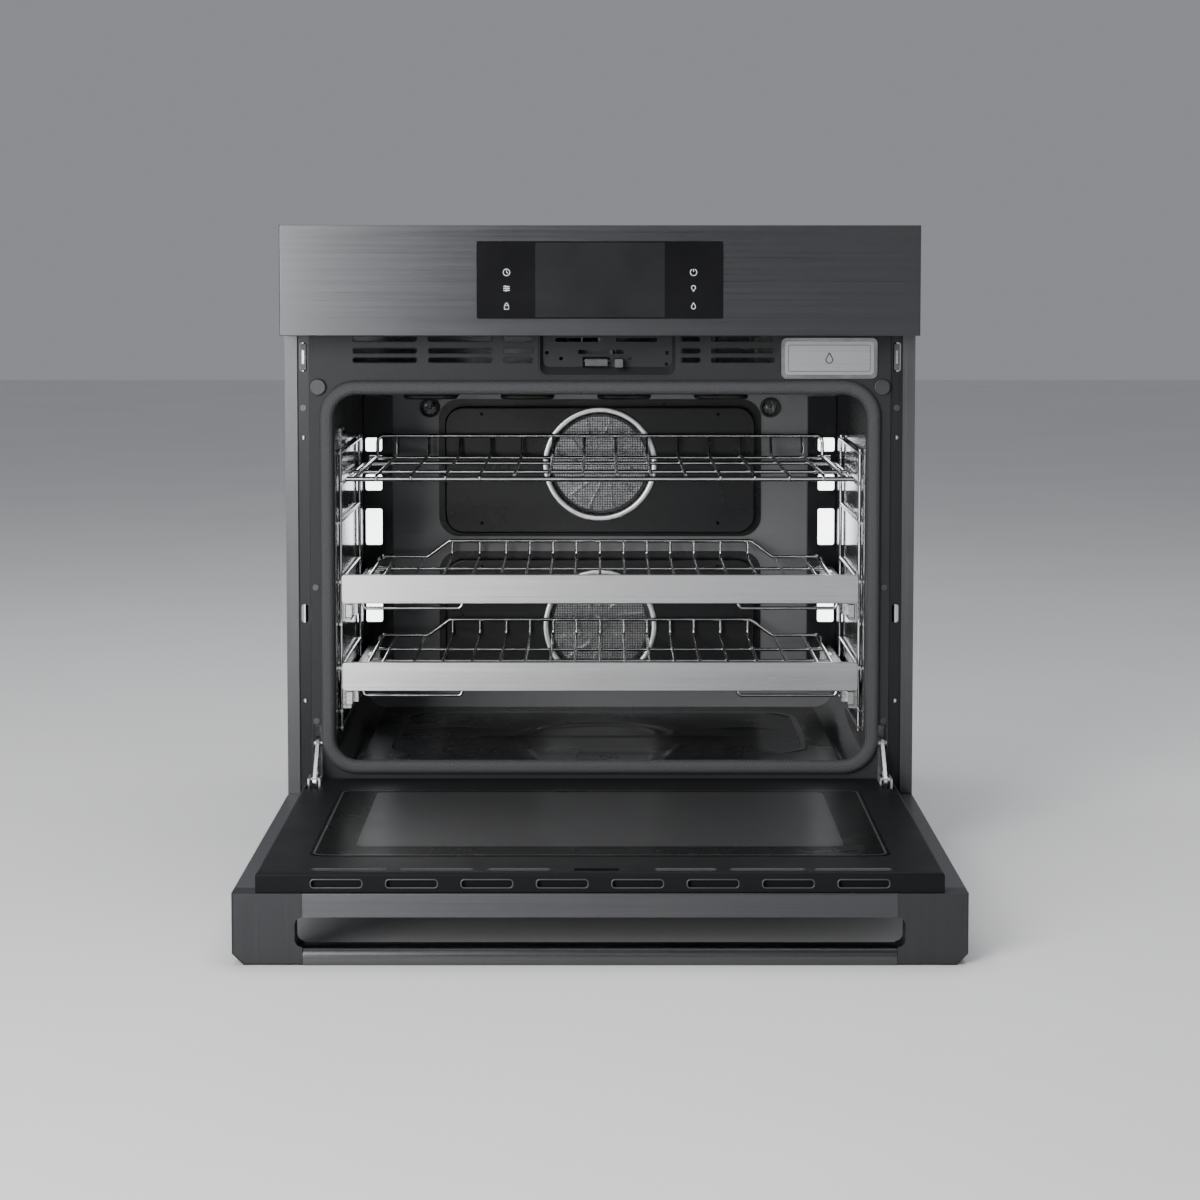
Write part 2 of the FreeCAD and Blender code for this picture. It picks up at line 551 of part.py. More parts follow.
liner = box(-liner_half, liner_half, -588, -16, door_split, door_top)
corners = [e for e in liner.Edges if abs(e.BoundBox.ZMin - door_top) < 0.01]
liner = liner.makeFillet(4, corners)
liner = liner.cut(box(-liner_half + 1.6, liner_half - 1.6, -586.4, -17.6, door_split - 5, door_top - 1.6))
liner = liner.cut(soft_box(-307.5, 307.5, -502.5, -101.5, door_top - 5, door_top + 5, 16, "z"))
top_slots = [(-297, -222.6), (-205, -132), (-115, -52.6), (57.6, 119.5), (135, 211), (223.6, 300.5)]
for x0, x1 in top_slots:
    liner = liner.cut(soft_box(x0, x1, -575, -569, door_top - 5, door_top + 5, 2.9, "z"))
liner = liner.cut(soft_box(-26.7, 20.4, -578, -566, door_top - 5, door_top + 5, 3, "z"))
for k in range(8):
    x = -271.25 + 77.5 * k
    liner = liner.cut(soft_box(x - 26, x + 26, -600, -580, 50.1, 57.6, 3, "y"))
liner = liner.fuse(box(-340, 340, -581.6, -580.4, door_split + 1, door_top - 1))
for sign in (-1, 1):
    liner = liner.cut(box(sign * hinge_x - 8, sign * hinge_x + 8, -92, 0, 30, 80))
save("door_liner", liner)
save("door_inner_glass", soft_box(-307, 307, -502, -102, door_top - 3.4, door_top + 0.6, 15.5, "z"))

# handle: a bar between two end blocks, all standing on the door's front
bar = box(-seam_x + edge_gap, seam_x - edge_gap, door_far, handle_back, handle_low, grip_top)
for y, z, radius in ((door_far, grip_top, 11), (handle_back, grip_top, 7), (door_far, handle_low, 1.2)):
    bar = bar.makeFillet(radius, edges_along_x(bar, y, z))
save("handle_bar", bar)
outline = [(seam_x + edge_gap, skin_top), (half - 0.5, skin_top), (half - 0.5, handle_low + 12)]
outline += [(half - 12.5, handle_low), (seam_x + edge_gap, handle_low)]
corners = [Vector(x, door_far, height) for x, height in outline]
block = Part.Face(Part.makePolygon(corners + corners[:1])).extrude(Vector(0, handle_back - door_far, 0))
front_edges = edges_at(block, door_far)
bevelled = [e for e in front_edges if e.CenterOfMass.x > half - 8 or e.BoundBox.ZMax < handle_low + 0.01]
block = block.makeChamfer(2.4, bevelled)
block = block.cut(soft_box(-gap_half, gap_half, -620, -540, grip_top, door_front, 8, "y"))
save("handle_mount", both(block))

# hinges: receivers with two arms on the frame, slotted links, and brackets with pins in the door
arm_in, arm_out, plate_in, plate_out = 2.4, 5.2, 5.6, 7.6
receiver = box(hinge_x - 9, hinge_x - 6, -1.5, 40, 24, 132)
receiver = receiver.fuse(box(hinge_x + 6, hinge_x + 9, 0.2, 40, 24, 132))
receiver = receiver.fuse(box(hinge_x - 9, hinge_x + 9, 37, 40, 24, 132))
receiver = receiver.fuse(rod((hinge_x - 8, link_y, link_z), (hinge_x + 8, link_y, link_z), 4))
for x0, x1 in ((hinge_x - arm_out, hinge_x - arm_in), (hinge_x + arm_in, hinge_x + arm_out)):
    arm = box(x0, x1, hinge_y, 38, 33.2, 43.2).fuse(box(x0, x1, 12, 38, 33.2, 62))
    arm = arm.fuse(rod((x0, hinge_y, hinge_z), (x1, hinge_y, hinge_z), 8.6))
    receiver = receiver.fuse(arm.cut(rod((x0 - 1, hinge_y, hinge_z), (x1 + 1, hinge_y, hinge_z), 4.05)))
save("hinge_receivers", both(receiver.removeSplitter()))

dy, dz = link_pin_y - link_y, link_pin_z - link_z
reach = math.hypot(dy, dz)
slot_low, slot_high = reach - 12.0, reach + 3.0
link = Part.makeBox(4, 16, slot_high, Vector(-2, -8, 0))
link = link.fuse(rod((-2, 0, 0), (2, 0, 0), 8)).fuse(rod((-2, 0, slot_high), (2, 0, slot_high), 8))
slot = Part.makeBox(10, 10.4, slot_high - slot_low, Vector(-5, -5.2, slot_low))
for height in (slot_low, slot_high):
    slot = slot.fuse(rod((-5, 0, height), (5, 0, height), 5.2))
link = link.cut(slot).cut(rod((-5, 0, 0), (5, 0, 0), 4.06))
link.rotate(Vector(0, 0, 0), Vector(1, 0, 0), math.degrees(math.atan2(dz, dy)) - 90)
link.translate(Vector(hinge_x, link_y, link_z))
save("hinge_links", both(link.removeSplitter()))

bracket = rod((hinge_x - 7, link_pin_y, link_pin_z), (hinge_x + 7, link_pin_y, link_pin_z), 3)
for sign in (-1, 1):
    x0, x1 = sorted((hinge_x + sign * plate_in, hinge_x + sign * plate_out))
    bracket = bracket.fuse(box(x0, x1, -58, -25, 24, 71.6))
    bracket = bracket.fuse(rod((hinge_x + sign * arm_in, hinge_y, hinge_z), (x1 - 1, hinge_y, hinge_z), 4))
save("hinge_brackets", both(bracket.removeSplitter()))

# control panel
panel = box(-half, half, panel_front, panel_back, panel_bottom, overall_top)
panel = panel.makeFillet(1.2, edges_at(panel, panel_front))
panel = panel.cut(box(-half + 2, half - 2, panel_front + 2, 5, panel_bottom + 2, overall_top - 2))
glass_half, glass_low, glass_high, glass_gap = 145.7, 622.6, 713.6, 0.3
opening_half = glass_half + glass_gap
opening_low, opening_high = glass_low - glass_gap, glass_high + glass_gap
panel = panel.cut(soft_box(-opening_half, opening_half, -70, -50, opening_low, opening_high, 2.2, "y"))
save("control_panel", panel)
glass_front, glass_back = panel_front - 0.4, panel_front + 2.6
glass = soft_box(-glass_half, glass_half, glass_front, glass_back, glass_low, glass_high, 2, "y")
save("display_glass", glass)
module = box(-140, 140, panel_front + 2.8, panel_front + 4.4, glass_low + 3, glass_high - 3)
module = module.fuse(box(-78, 78, panel_front + 4.4, panel_front + 10, glass_low + 6, glass_high - 6))
for x in (-110.6, 110.6):
    for height in (676, 657, 638):
        module = module.fuse(box(x - 6, x + 6, panel_front + 4.4, panel_front + 7, height - 3, height + 7))
board_back = -28.4
board = box(-320, -190, board_back - 1.6, board_back, 612, 722)
blocks = [(-315, -285, 628, 652, 14), (-261, -239, 681, 699, 18)]
blocks += [(-230, -214, 625, 655, 10), (-312, -288, 680, 700, 12)]
for x0, x1, z0, z1, depth in blocks:
    board = board.fuse(box(x0, x1, board_back, board_back + depth, z0, z1))
for x in (-312, -198):
    for z in (620, 714):
        board = board.fuse(disc(x, z, -56, -30, 3.5))
save("control_boards", module, board)

# cooling blower above the cavity
blower_y, blower_low, blower_high = 330.0, deck_top, 606.0
wheel_radius = 66.0
housing = rod((0, blower_y, blower_low), (0, blower_y, blower_high), 82)
housing = housing.fuse(box(-82, 20, 150, blower_y, blower_low, blower_high))
hollow = rod((0, blower_y, blower_low + 1.6), (0, blower_y, blower_high - 1.6), 80.4)
hollow = hollow.fuse(box(-80.4, 18.4, 140, blower_y, blower_low + 1.6, blower_high - 1.6))
housing = housing.cut(hollow).cut(rod((0, blower_y, blower_high - 5), (0, blower_y, blower_high + 5), 52))
housing = housing.removeSplitter()
save("blower_housing", housing)
wheel = rod((0, blower_y, blower_low + 5), (0, blower_y, blower_low + 6.6), wheel_radius)
wheel = wheel.fuse(rod((0, blower_y, blower_low + 5), (0, blower_y, blower_low + 30), 10))
wheel = wheel.fuse(rod((0, blower_y, blower_low + 20), (0, blower_y, blower_high + 24), 4))
for k in range(18):
    blade = Part.makeBox(18, 1.4, 42, Vector(46, -0.7, blower_low + 6))
    blade.rotate(Vector(46, 0, 0), Vector(0, 0, 1), 28)
    blade.rotate(Vector(0, 0, 0), Vector(0, 0, 1), 20 * k)
    blade.translate(Vector(0, blower_y, 0))
    wheel = wheel.fuse(blade)
save("blower_wheel", wheel)
motor = rod((0, blower_y, blower_high + 12), (0, blower_y, blower_high + 56), 34)
for angle in (30, 150, 270):
    x, y = 62 * math.cos(math.radians(angle)), blower_y + 62 * math.sin(math.radians(angle))
    motor = motor.fuse(rod((0, blower_y, blower_high + 16), (x, y, blower_high + 16), 3.5))
    motor = motor.fuse(rod((x, y, blower_high), (x, y, blower_high + 19), 3.5))
motor = motor.cut(rod((0, blower_y, blower_high + 8), (0, blower_y, blower_high + 30), 4.06))
motors.append(motor)
save("fan_motors", *motors)

# junction box with the bushing for the supply lead
shell = box(-340, -230, 520, 588.4, 630, 712).cut(box(-338.5, -231.5, 518, 587, 631.5, 713))
bushing = ring(bushing_x, bushing_z, 584, 599, 11, 7.5)
bushing = bushing.fuse(ring(bushing_x, bushing_z, 590.2, 596, 16, 7.5))
shell = shell.cut(disc(bushing_x, bushing_z, 580, 595, 11.05))
save("junction_box", shell, bushing)

# steam system: reservoir drawer, housing, pump, boiler and pipes
tank_x0, tank_x1 = 222.0, 330.0
case = box(218.0, 333.6, 1.2, 232, deck_top, 601.6).cut(box(219.6, 332.0, -5, 230.4, deck_top + 1.4, 600.0))
save("reservoir_housing", case)
tank = soft_box(tank_x0, tank_x1, 0.6, 222, 549.6, 590, 8, "z")
tank = tank.cut(soft_box(tank_x0 + 2, tank_x1 - 2, 2.6, 220, 551.6, 595, 6, "z"))
lid = soft_box(tank_x0, tank_x1, 0.6, 222, 590, 592.4, 8, "z")
lid = lid.cut(soft_box(262, 290, 40, 60, 580, 600, 4, "z"))
save("reservoir_tank", tank, lid)
bezel = soft_box(218, 333.6, -5.4, 0.6, 549.4, 598.2, 7, "y")
bezel = bezel.cut(soft_box(222.2, 329.4, -8, -2.4, 553.6, 594.0, 4, "y"))
save("reservoir_bezel", bezel)
save("reservoir_plate", soft_box(222.4, 329.2, -4.4, -2.4, 553.8, 593.8, 3.9, "y"))

pump = rod((276, 250, 575), (276, 300, 575), 18).fuse(rod((276, 300, 575), (276, 330, 575), 14))
pump = pump.fuse(rod((276, 236, 575), (276, 250, 575), 4)).fuse(box(262, 290, 262, 290, deck_top, 562))
save("water_pump", pump)
boiler = soft_box(200, 310, 360, 440, deck_top, 606, 8, "z")
for y in (385, 415):
    boiler = boiler.fuse(rod((190, y, 570), (320, y, 570), 4))
feed = bent([(276, 331, 575), (276, 346, 575), (276, 346, 590), (276, 359, 590)], 3, 5)
outlet_z = 595.0
steam = bent([(214, 359, outlet_z), (214, nozzle_y, outlet_z), (nozzle_x, nozzle_y, outlet_z),
              (nozzle_x, nozzle_y, 524)], 4, 8)
save("steam_boiler", boiler, feed, steam)
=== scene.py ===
import math

import bmesh
import bpy
from mathutils import Matrix, Vector


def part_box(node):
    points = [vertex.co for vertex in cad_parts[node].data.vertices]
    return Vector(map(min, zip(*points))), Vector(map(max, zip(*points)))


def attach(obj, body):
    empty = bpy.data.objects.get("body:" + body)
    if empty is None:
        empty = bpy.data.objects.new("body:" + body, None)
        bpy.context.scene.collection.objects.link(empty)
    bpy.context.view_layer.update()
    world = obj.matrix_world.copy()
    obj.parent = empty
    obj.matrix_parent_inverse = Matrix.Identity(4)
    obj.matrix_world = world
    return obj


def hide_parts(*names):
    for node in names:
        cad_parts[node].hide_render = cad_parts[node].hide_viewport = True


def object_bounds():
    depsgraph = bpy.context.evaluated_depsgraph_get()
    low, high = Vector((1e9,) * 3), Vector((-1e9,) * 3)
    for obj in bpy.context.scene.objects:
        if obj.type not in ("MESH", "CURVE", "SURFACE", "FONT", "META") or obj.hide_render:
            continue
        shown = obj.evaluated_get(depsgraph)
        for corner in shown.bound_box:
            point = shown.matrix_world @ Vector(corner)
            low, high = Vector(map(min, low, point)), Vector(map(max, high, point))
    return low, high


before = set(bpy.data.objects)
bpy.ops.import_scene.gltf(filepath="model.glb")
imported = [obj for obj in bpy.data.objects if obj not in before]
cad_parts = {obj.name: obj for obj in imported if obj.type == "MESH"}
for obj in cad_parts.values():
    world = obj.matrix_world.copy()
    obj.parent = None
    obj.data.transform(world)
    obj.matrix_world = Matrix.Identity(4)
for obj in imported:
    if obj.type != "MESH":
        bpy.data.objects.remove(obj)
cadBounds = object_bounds()
nodeBox = {name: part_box(name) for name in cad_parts}
print("frame loaded,", len(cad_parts), "parts")


# small tools
# a key of i and a number is a socket's place, and any other key is its label
def addNode(tree, kind, settings=None, **inputs):
    made = tree.nodes.new(kind)
    for key, value in (settings or {}).items():
        setattr(made, key, value)
    for key, value in inputs.items():
        byPlace = key[0] == "i" and key[1:].isdigit()
        wire(tree, value, made.inputs[int(key[1:]) if byPlace else key])
    return made


def wire(tree, value, socket):
    if isinstance(value, bpy.types.NodeSocket):
        tree.links.new(value, socket)
    else:
        socket.default_value = value


def newGroup(name, inputs, outputs):
    group = bpy.data.node_groups.new(name, "ShaderNodeTree")
    for label, kind, value in inputs:
        socket = group.interface.new_socket(label, in_out="INPUT", socket_type=kind)
        socket.default_value = value
    for label, kind in outputs:
        group.interface.new_socket(label, in_out="OUTPUT", socket_type=kind)
    return group, group.nodes.new("NodeGroupInput").outputs, group.nodes.new("NodeGroupOutput").inputs


def useGroup(tree, group, **inputs):
    made = tree.nodes.new("ShaderNodeGroup")
    made.node_tree = group
    for key, value in inputs.items():
        wire(tree, value, made.inputs[key])
    return made


def mathNode(tree, operation, a, b=0.0, clamp=False):
    made = addNode(tree, "ShaderNodeMath", {"operation": operation, "use_clamp": clamp}, i0=a, i1=b)
    return made.outputs[0]


def rangeNode(tree, value, low, high, newLow=0.0, newHigh=1.0):
    made = addNode(tree, "ShaderNodeMapRange", {"clamp": True},
                   i0=value, i1=low, i2=high, i3=newLow, i4=newHigh)
    return made.outputs[0]


def mixColour(tree, factor, a, b):
    made = tree.nodes.new("ShaderNodeMix")
    made.data_type = "RGBA"
    wire(tree, factor, made.inputs[0])
    wire(tree, a, made.inputs[6])
    wire(tree, b, made.inputs[7])
    return made.outputs[2]


# shared effects
# fine parallel brushing, stretched along one axis
brushing, groupIn, groupOut = newGroup(
    "brushedGrain",
    [("Stretch", "NodeSocketVector", (12.0, 900.0, 900.0)), ("Depth", "NodeSocketFloat", 0.1)],
    [("Grain", "NodeSocketFloat"), ("Normal", "NodeSocketVector")])
place = addNode(brushing, "ShaderNodeTexCoord").outputs["Object"]
spread = addNode(brushing, "ShaderNodeMapping", None, Vector=place, Scale=groupIn["Stretch"]).outputs[0]
fine = addNode(brushing, "ShaderNodeTexNoise", None, Vector=spread, Scale=1.0, Detail=4.0,
               Roughness=0.65).outputs["Fac"]
wideSpread = addNode(brushing, "ShaderNodeMapping", None, Vector=spread, Scale=(0.22, 0.22, 0.22)).outputs[0]
wide = addNode(brushing, "ShaderNodeTexNoise", None, Vector=wideSpread, Scale=1.0, Detail=2.0).outputs["Fac"]
fineShare = mathNode(brushing, "MULTIPLY", fine, 0.7)
grain = mathNode(brushing, "ADD", fineShare, mathNode(brushing, "MULTIPLY", wide, 0.3))
wire(brushing, grain, groupOut["Grain"])
bump = addNode(brushing, "ShaderNodeBump", None, Strength=groupIn["Depth"], Distance=0.0004, Height=grain)
wire(brushing, bump.outputs[0], groupOut["Normal"])

# slow cloudy change, for handling marks and thin dust
clouding, groupIn, groupOut = newGroup(
    "cloudyFilm",
    [("Size", "NodeSocketFloat", 8.0), ("Low", "NodeSocketFloat", 0.35), ("High", "NodeSocketFloat", 0.7)],
    [("Film", "NodeSocketFloat")])
place = addNode(clouding, "ShaderNodeTexCoord").outputs["Object"]
cloud = addNode(clouding, "ShaderNodeTexNoise", None, Vector=place, Scale=groupIn["Size"], Detail=6.0,
                Roughness=0.6)
wire(clouding, rangeNode(clouding, cloud.outputs["Fac"], groupIn["Low"], groupIn["High"]), groupOut["Film"])

# pale specks and a faint orange-peel wave, as fired enamel has
flecking, groupIn, groupOut = newGroup(
    "enamelFleck",
    [("Size", "NodeSocketFloat", 900.0), ("Amount", "NodeSocketFloat", 0.12),
     ("Wave", "NodeSocketFloat", 0.08)],
    [("Speck", "NodeSocketFloat"), ("Normal", "NodeSocketVector")])
place = addNode(flecking, "ShaderNodeTexCoord").outputs["Object"]
cells = addNode(flecking, "ShaderNodeTexVoronoi", None, Vector=place, Scale=groupIn["Size"])
dot = rangeNode(flecking, cells.outputs["Distance"], 0.14, 0.24, 1.0, 0.0)
pick = addNode(flecking, "ShaderNodeSeparateColor", None, Color=cells.outputs["Color"]).outputs[0]
chosen = mathNode(flecking, "LESS_THAN", pick, groupIn["Amount"])
wire(flecking, mathNode(flecking, "MULTIPLY", dot, chosen), groupOut["Speck"])
peel = addNode(flecking, "ShaderNodeTexNoise", None, Vector=place, Scale=140.0, Detail=2.0).outputs["Fac"]
bump = addNode(flecking, "ShaderNodeBump", None, Strength=groupIn["Wave"], Distance=0.001, Height=peel)
wire(flecking, bump.outputs[0], groupOut["Normal"])

# bright worn line where a surface turns outward
wearing, groupIn, groupOut = newGroup(
    "edgeWear", [("Reach", "NodeSocketFloat", 0.06)], [("Worn", "NodeSocketFloat")])
bend = addNode(wearing, "ShaderNodeNewGeometry").outputs["Pointiness"]
place = addNode(wearing, "ShaderNodeTexCoord").outputs["Object"]
patchy = addNode(wearing, "ShaderNodeTexNoise", None, Vector=place, Scale=60.0, Detail=4.0).outputs["Fac"]
edge = rangeNode(wearing, bend, 0.52, mathNode(wearing, "ADD", 0.52, groupIn["Reach"]))
wire(wearing, mathNode(wearing, "MULTIPLY", edge, patchy), groupOut["Worn"])


# finishes
def startFinish(name, settings):
    material = bpy.data.materials.new(name)
    material.use_nodes = True
    tree = material.node_tree
    shader = tree.nodes["Principled BSDF"]
    shader.inputs["Metallic"].default_value = settings.get("metallic", 0.0)
    shader.inputs["IOR"].default_value = settings.get("ior", 1.5)
    shader.inputs["Coat Weight"].default_value = settings.get("coat", 0.0)
    shader.inputs["Coat Roughness"].default_value = settings.get("coatRough", 0.1)
    shader.inputs["Specular IOR Level"].default_value = settings.get("specular", 0.5)
    shader.inputs["Transmission Weight"].default_value = settings.get("clear", 0.0)
    return material, tree, shader


def brushedMetal(name, settings):
    material, tree, shader = startFinish(name, settings)
    lines = useGroup(tree, brushing, Stretch=settings["stretch"], Depth=settings.get("depth", 0.12))
    film = useGroup(tree, clouding, Size=settings.get("filmSize", 6.0))
    tone = rangeNode(tree, lines.outputs["Grain"], 0.32, 0.68)
    colour = mixColour(tree, tone, (*settings["dark"], 1), (*settings["light"], 1))
    if "channelHalf" in settings:
        place = addNode(tree, "ShaderNodeTexCoord").outputs["Object"]
        sideways = addNode(tree, "ShaderNodeSeparateXYZ", None, Vector=place).outputs[0]
        across = mathNode(tree, "ABSOLUTE", sideways)
        inside = mathNode(tree, "LESS_THAN", across, settings["channelHalf"])
        colour = mixColour(tree, inside, colour, (*settings["channelTone"], 1))
    wire(tree, colour, shader.inputs["Base Color"])
    base = settings["rough"]
    rough = rangeNode(tree, lines.outputs["Grain"], 0.3, 0.7, base - 0.07, base + 0.07)
    smear = mathNode(tree, "MULTIPLY", film.outputs["Film"], 0.06)
    wire(tree, mathNode(tree, "ADD", rough, smear), shader.inputs["Roughness"])
    wire(tree, lines.outputs["Normal"], shader.inputs["Normal"])
    facing = addNode(tree, "ShaderNodeNewGeometry").outputs["Normal"]
    # the highlight spreads across the brushing; the nudge keeps the tangent from being zero
    along = addNode(tree, "ShaderNodeVectorMath", {"operation": "CROSS_PRODUCT"},
                    i0=facing, i1=settings["along"])
    nudge = addNode(tree, "ShaderNodeVectorMath", {"operation": "ADD"},
                    i0=along.outputs[0], i1=(0.001, 0.002, 0.003))
    wire(tree, nudge.outputs[0], shader.inputs["Tangent"])
    shader.inputs["Anisotropic"].default_value = settings.get("aniso", 0.5)
    return material


def enamelCoat(name, settings):
    material, tree, shader = startFinish(name, settings)
    specks = useGroup(tree, flecking, Size=900.0, Amount=settings["flecks"], Wave=settings["wave"])
    film = useGroup(tree, clouding, Size=5.0)
    base = mixColour(tree, film.outputs["Film"], (*settings["dark"], 1), (*settings["light"], 1))
    base = mixColour(tree, specks.outputs["Speck"], base, (*settings.get("fleck", (0.3, 0.32, 0.35)), 1))
    # faces turned away from the front are mixed toward a darker colour: painted shade on side walls
    if "sidePaintedShade" in settings:
        facing = addNode(tree, "ShaderNodeNewGeometry").outputs["True Normal"]
        forward = addNode(tree, "ShaderNodeSeparateXYZ", None, Vector=facing).outputs[1]
        turned = rangeNode(tree, mathNode(tree, "ABSOLUTE", forward), 0.35, 0.9, 1.0, 0.0)
        base = mixColour(tree, turned, base, (*settings["sidePaintedShade"], 1))
    wire(tree, base, shader.inputs["Base Color"])
    rough = rangeNode(tree, film.outputs["Film"], 0.0, 1.0, settings["rough"], settings["rough"] + 0.1)
    wire(tree, rough, shader.inputs["Roughness"])
    wire(tree, specks.outputs["Normal"], shader.inputs["Normal"])
    return material


def plainMetal(name, settings):
    material, tree, shader = startFinish(name, settings)
    film = useGroup(tree, clouding, Size=settings.get("filmSize", 30.0))
    worn = useGroup(tree, wearing, Reach=0.06)
    place = addNode(tree, "ShaderNodeTexCoord").outputs["Object"]
    pits = addNode(tree, "ShaderNodeTexNoise", None, Vector=place,
                   Scale=settings.get("pitSize", 900.0), Detail=3.0)
    base = mixColour(tree, film.outputs["Film"], (*settings["dark"], 1), (*settings["light"], 1))
    base = mixColour(tree, worn.outputs["Worn"], base, (*settings.get("worn", settings["light"]), 1))
    wire(tree, base, shader.inputs["Base Color"])
    roughest = settings["rough"] + settings.get("vary", 0.1)
    rough = rangeNode(tree, film.outputs["Film"], 0.0, 1.0, settings["rough"], roughest)
    wire(tree, rough, shader.inputs["Roughness"])
    bump = addNode(tree, "ShaderNodeBump", None, Strength=settings.get("depth", 0.05), Distance=0.0003,
                   Height=pits.outputs["Fac"])
    wire(tree, bump.outputs[0], shader.inputs["Normal"])
    if "glow" in settings:
        wire(tree, base, shader.inputs["Emission Color"])
        shader.inputs["Emission Strength"].default_value = settings["glow"]
    return material


def mouldedPlastic(name, settings):
    settings = {"metallic": 0.0, "pitSize": 1400.0, "depth": 0.12, **settings}
    return plainMetal(name, settings)


def wovenBraid(name, settings):
    material, tree, shader = startFinish(name, settings)
    place = addNode(tree, "ShaderNodeTexCoord").outputs["Object"]
    height = None
    for turn in (0.785, -0.785):
        turned = addNode(tree, "ShaderNodeMapping", None, Vector=place, Rotation=(0.0, turn, 0.0)).outputs[0]
        strands = addNode(tree, "ShaderNodeTexWave", {"bands_direction": "X"}, Vector=turned,
                          Scale=settings["strands"], Distortion=1.2, Detail=2.0).outputs["Fac"]
        height = strands if height is None else mathNode(tree, "MAXIMUM", height, strands)
    fuzz = addNode(tree, "ShaderNodeTexNoise", None, Vector=place, Scale=2500.0, Detail=2.0).outputs["Fac"]
    both = mathNode(tree, "ADD", height, mathNode(tree, "MULTIPLY", fuzz, 0.5))
    base = settings["rough"]
    colour = mixColour(tree, height, (*settings["dark"], 1), (*settings["light"], 1))
    wire(tree, colour, shader.inputs["Base Color"])
    wire(tree, rangeNode(tree, fuzz, 0.3, 0.7, base - 0.08, base + 0.08), shader.inputs["Roughness"])
    bump = addNode(tree, "ShaderNodeBump", None, Strength=0.55, Distance=0.0012, Height=both)
    wire(tree, bump.outputs[0], shader.inputs["Normal"])
    return material


def tintedGlass(name, settings):
    material, tree, shader = startFinish(name, settings)
    film = useGroup(tree, clouding, Size=settings.get("filmSize", 9.0))
    colour = mixColour(tree, film.outputs["Film"], (*settings["dark"], 1), (*settings["light"], 1))
    wire(tree, colour, shader.inputs["Base Color"])
    wire(tree, rangeNode(tree, film.outputs["Film"], 0, 1, settings["rough"], settings["rough"] + 0.04),
         shader.inputs["Roughness"])
    return material


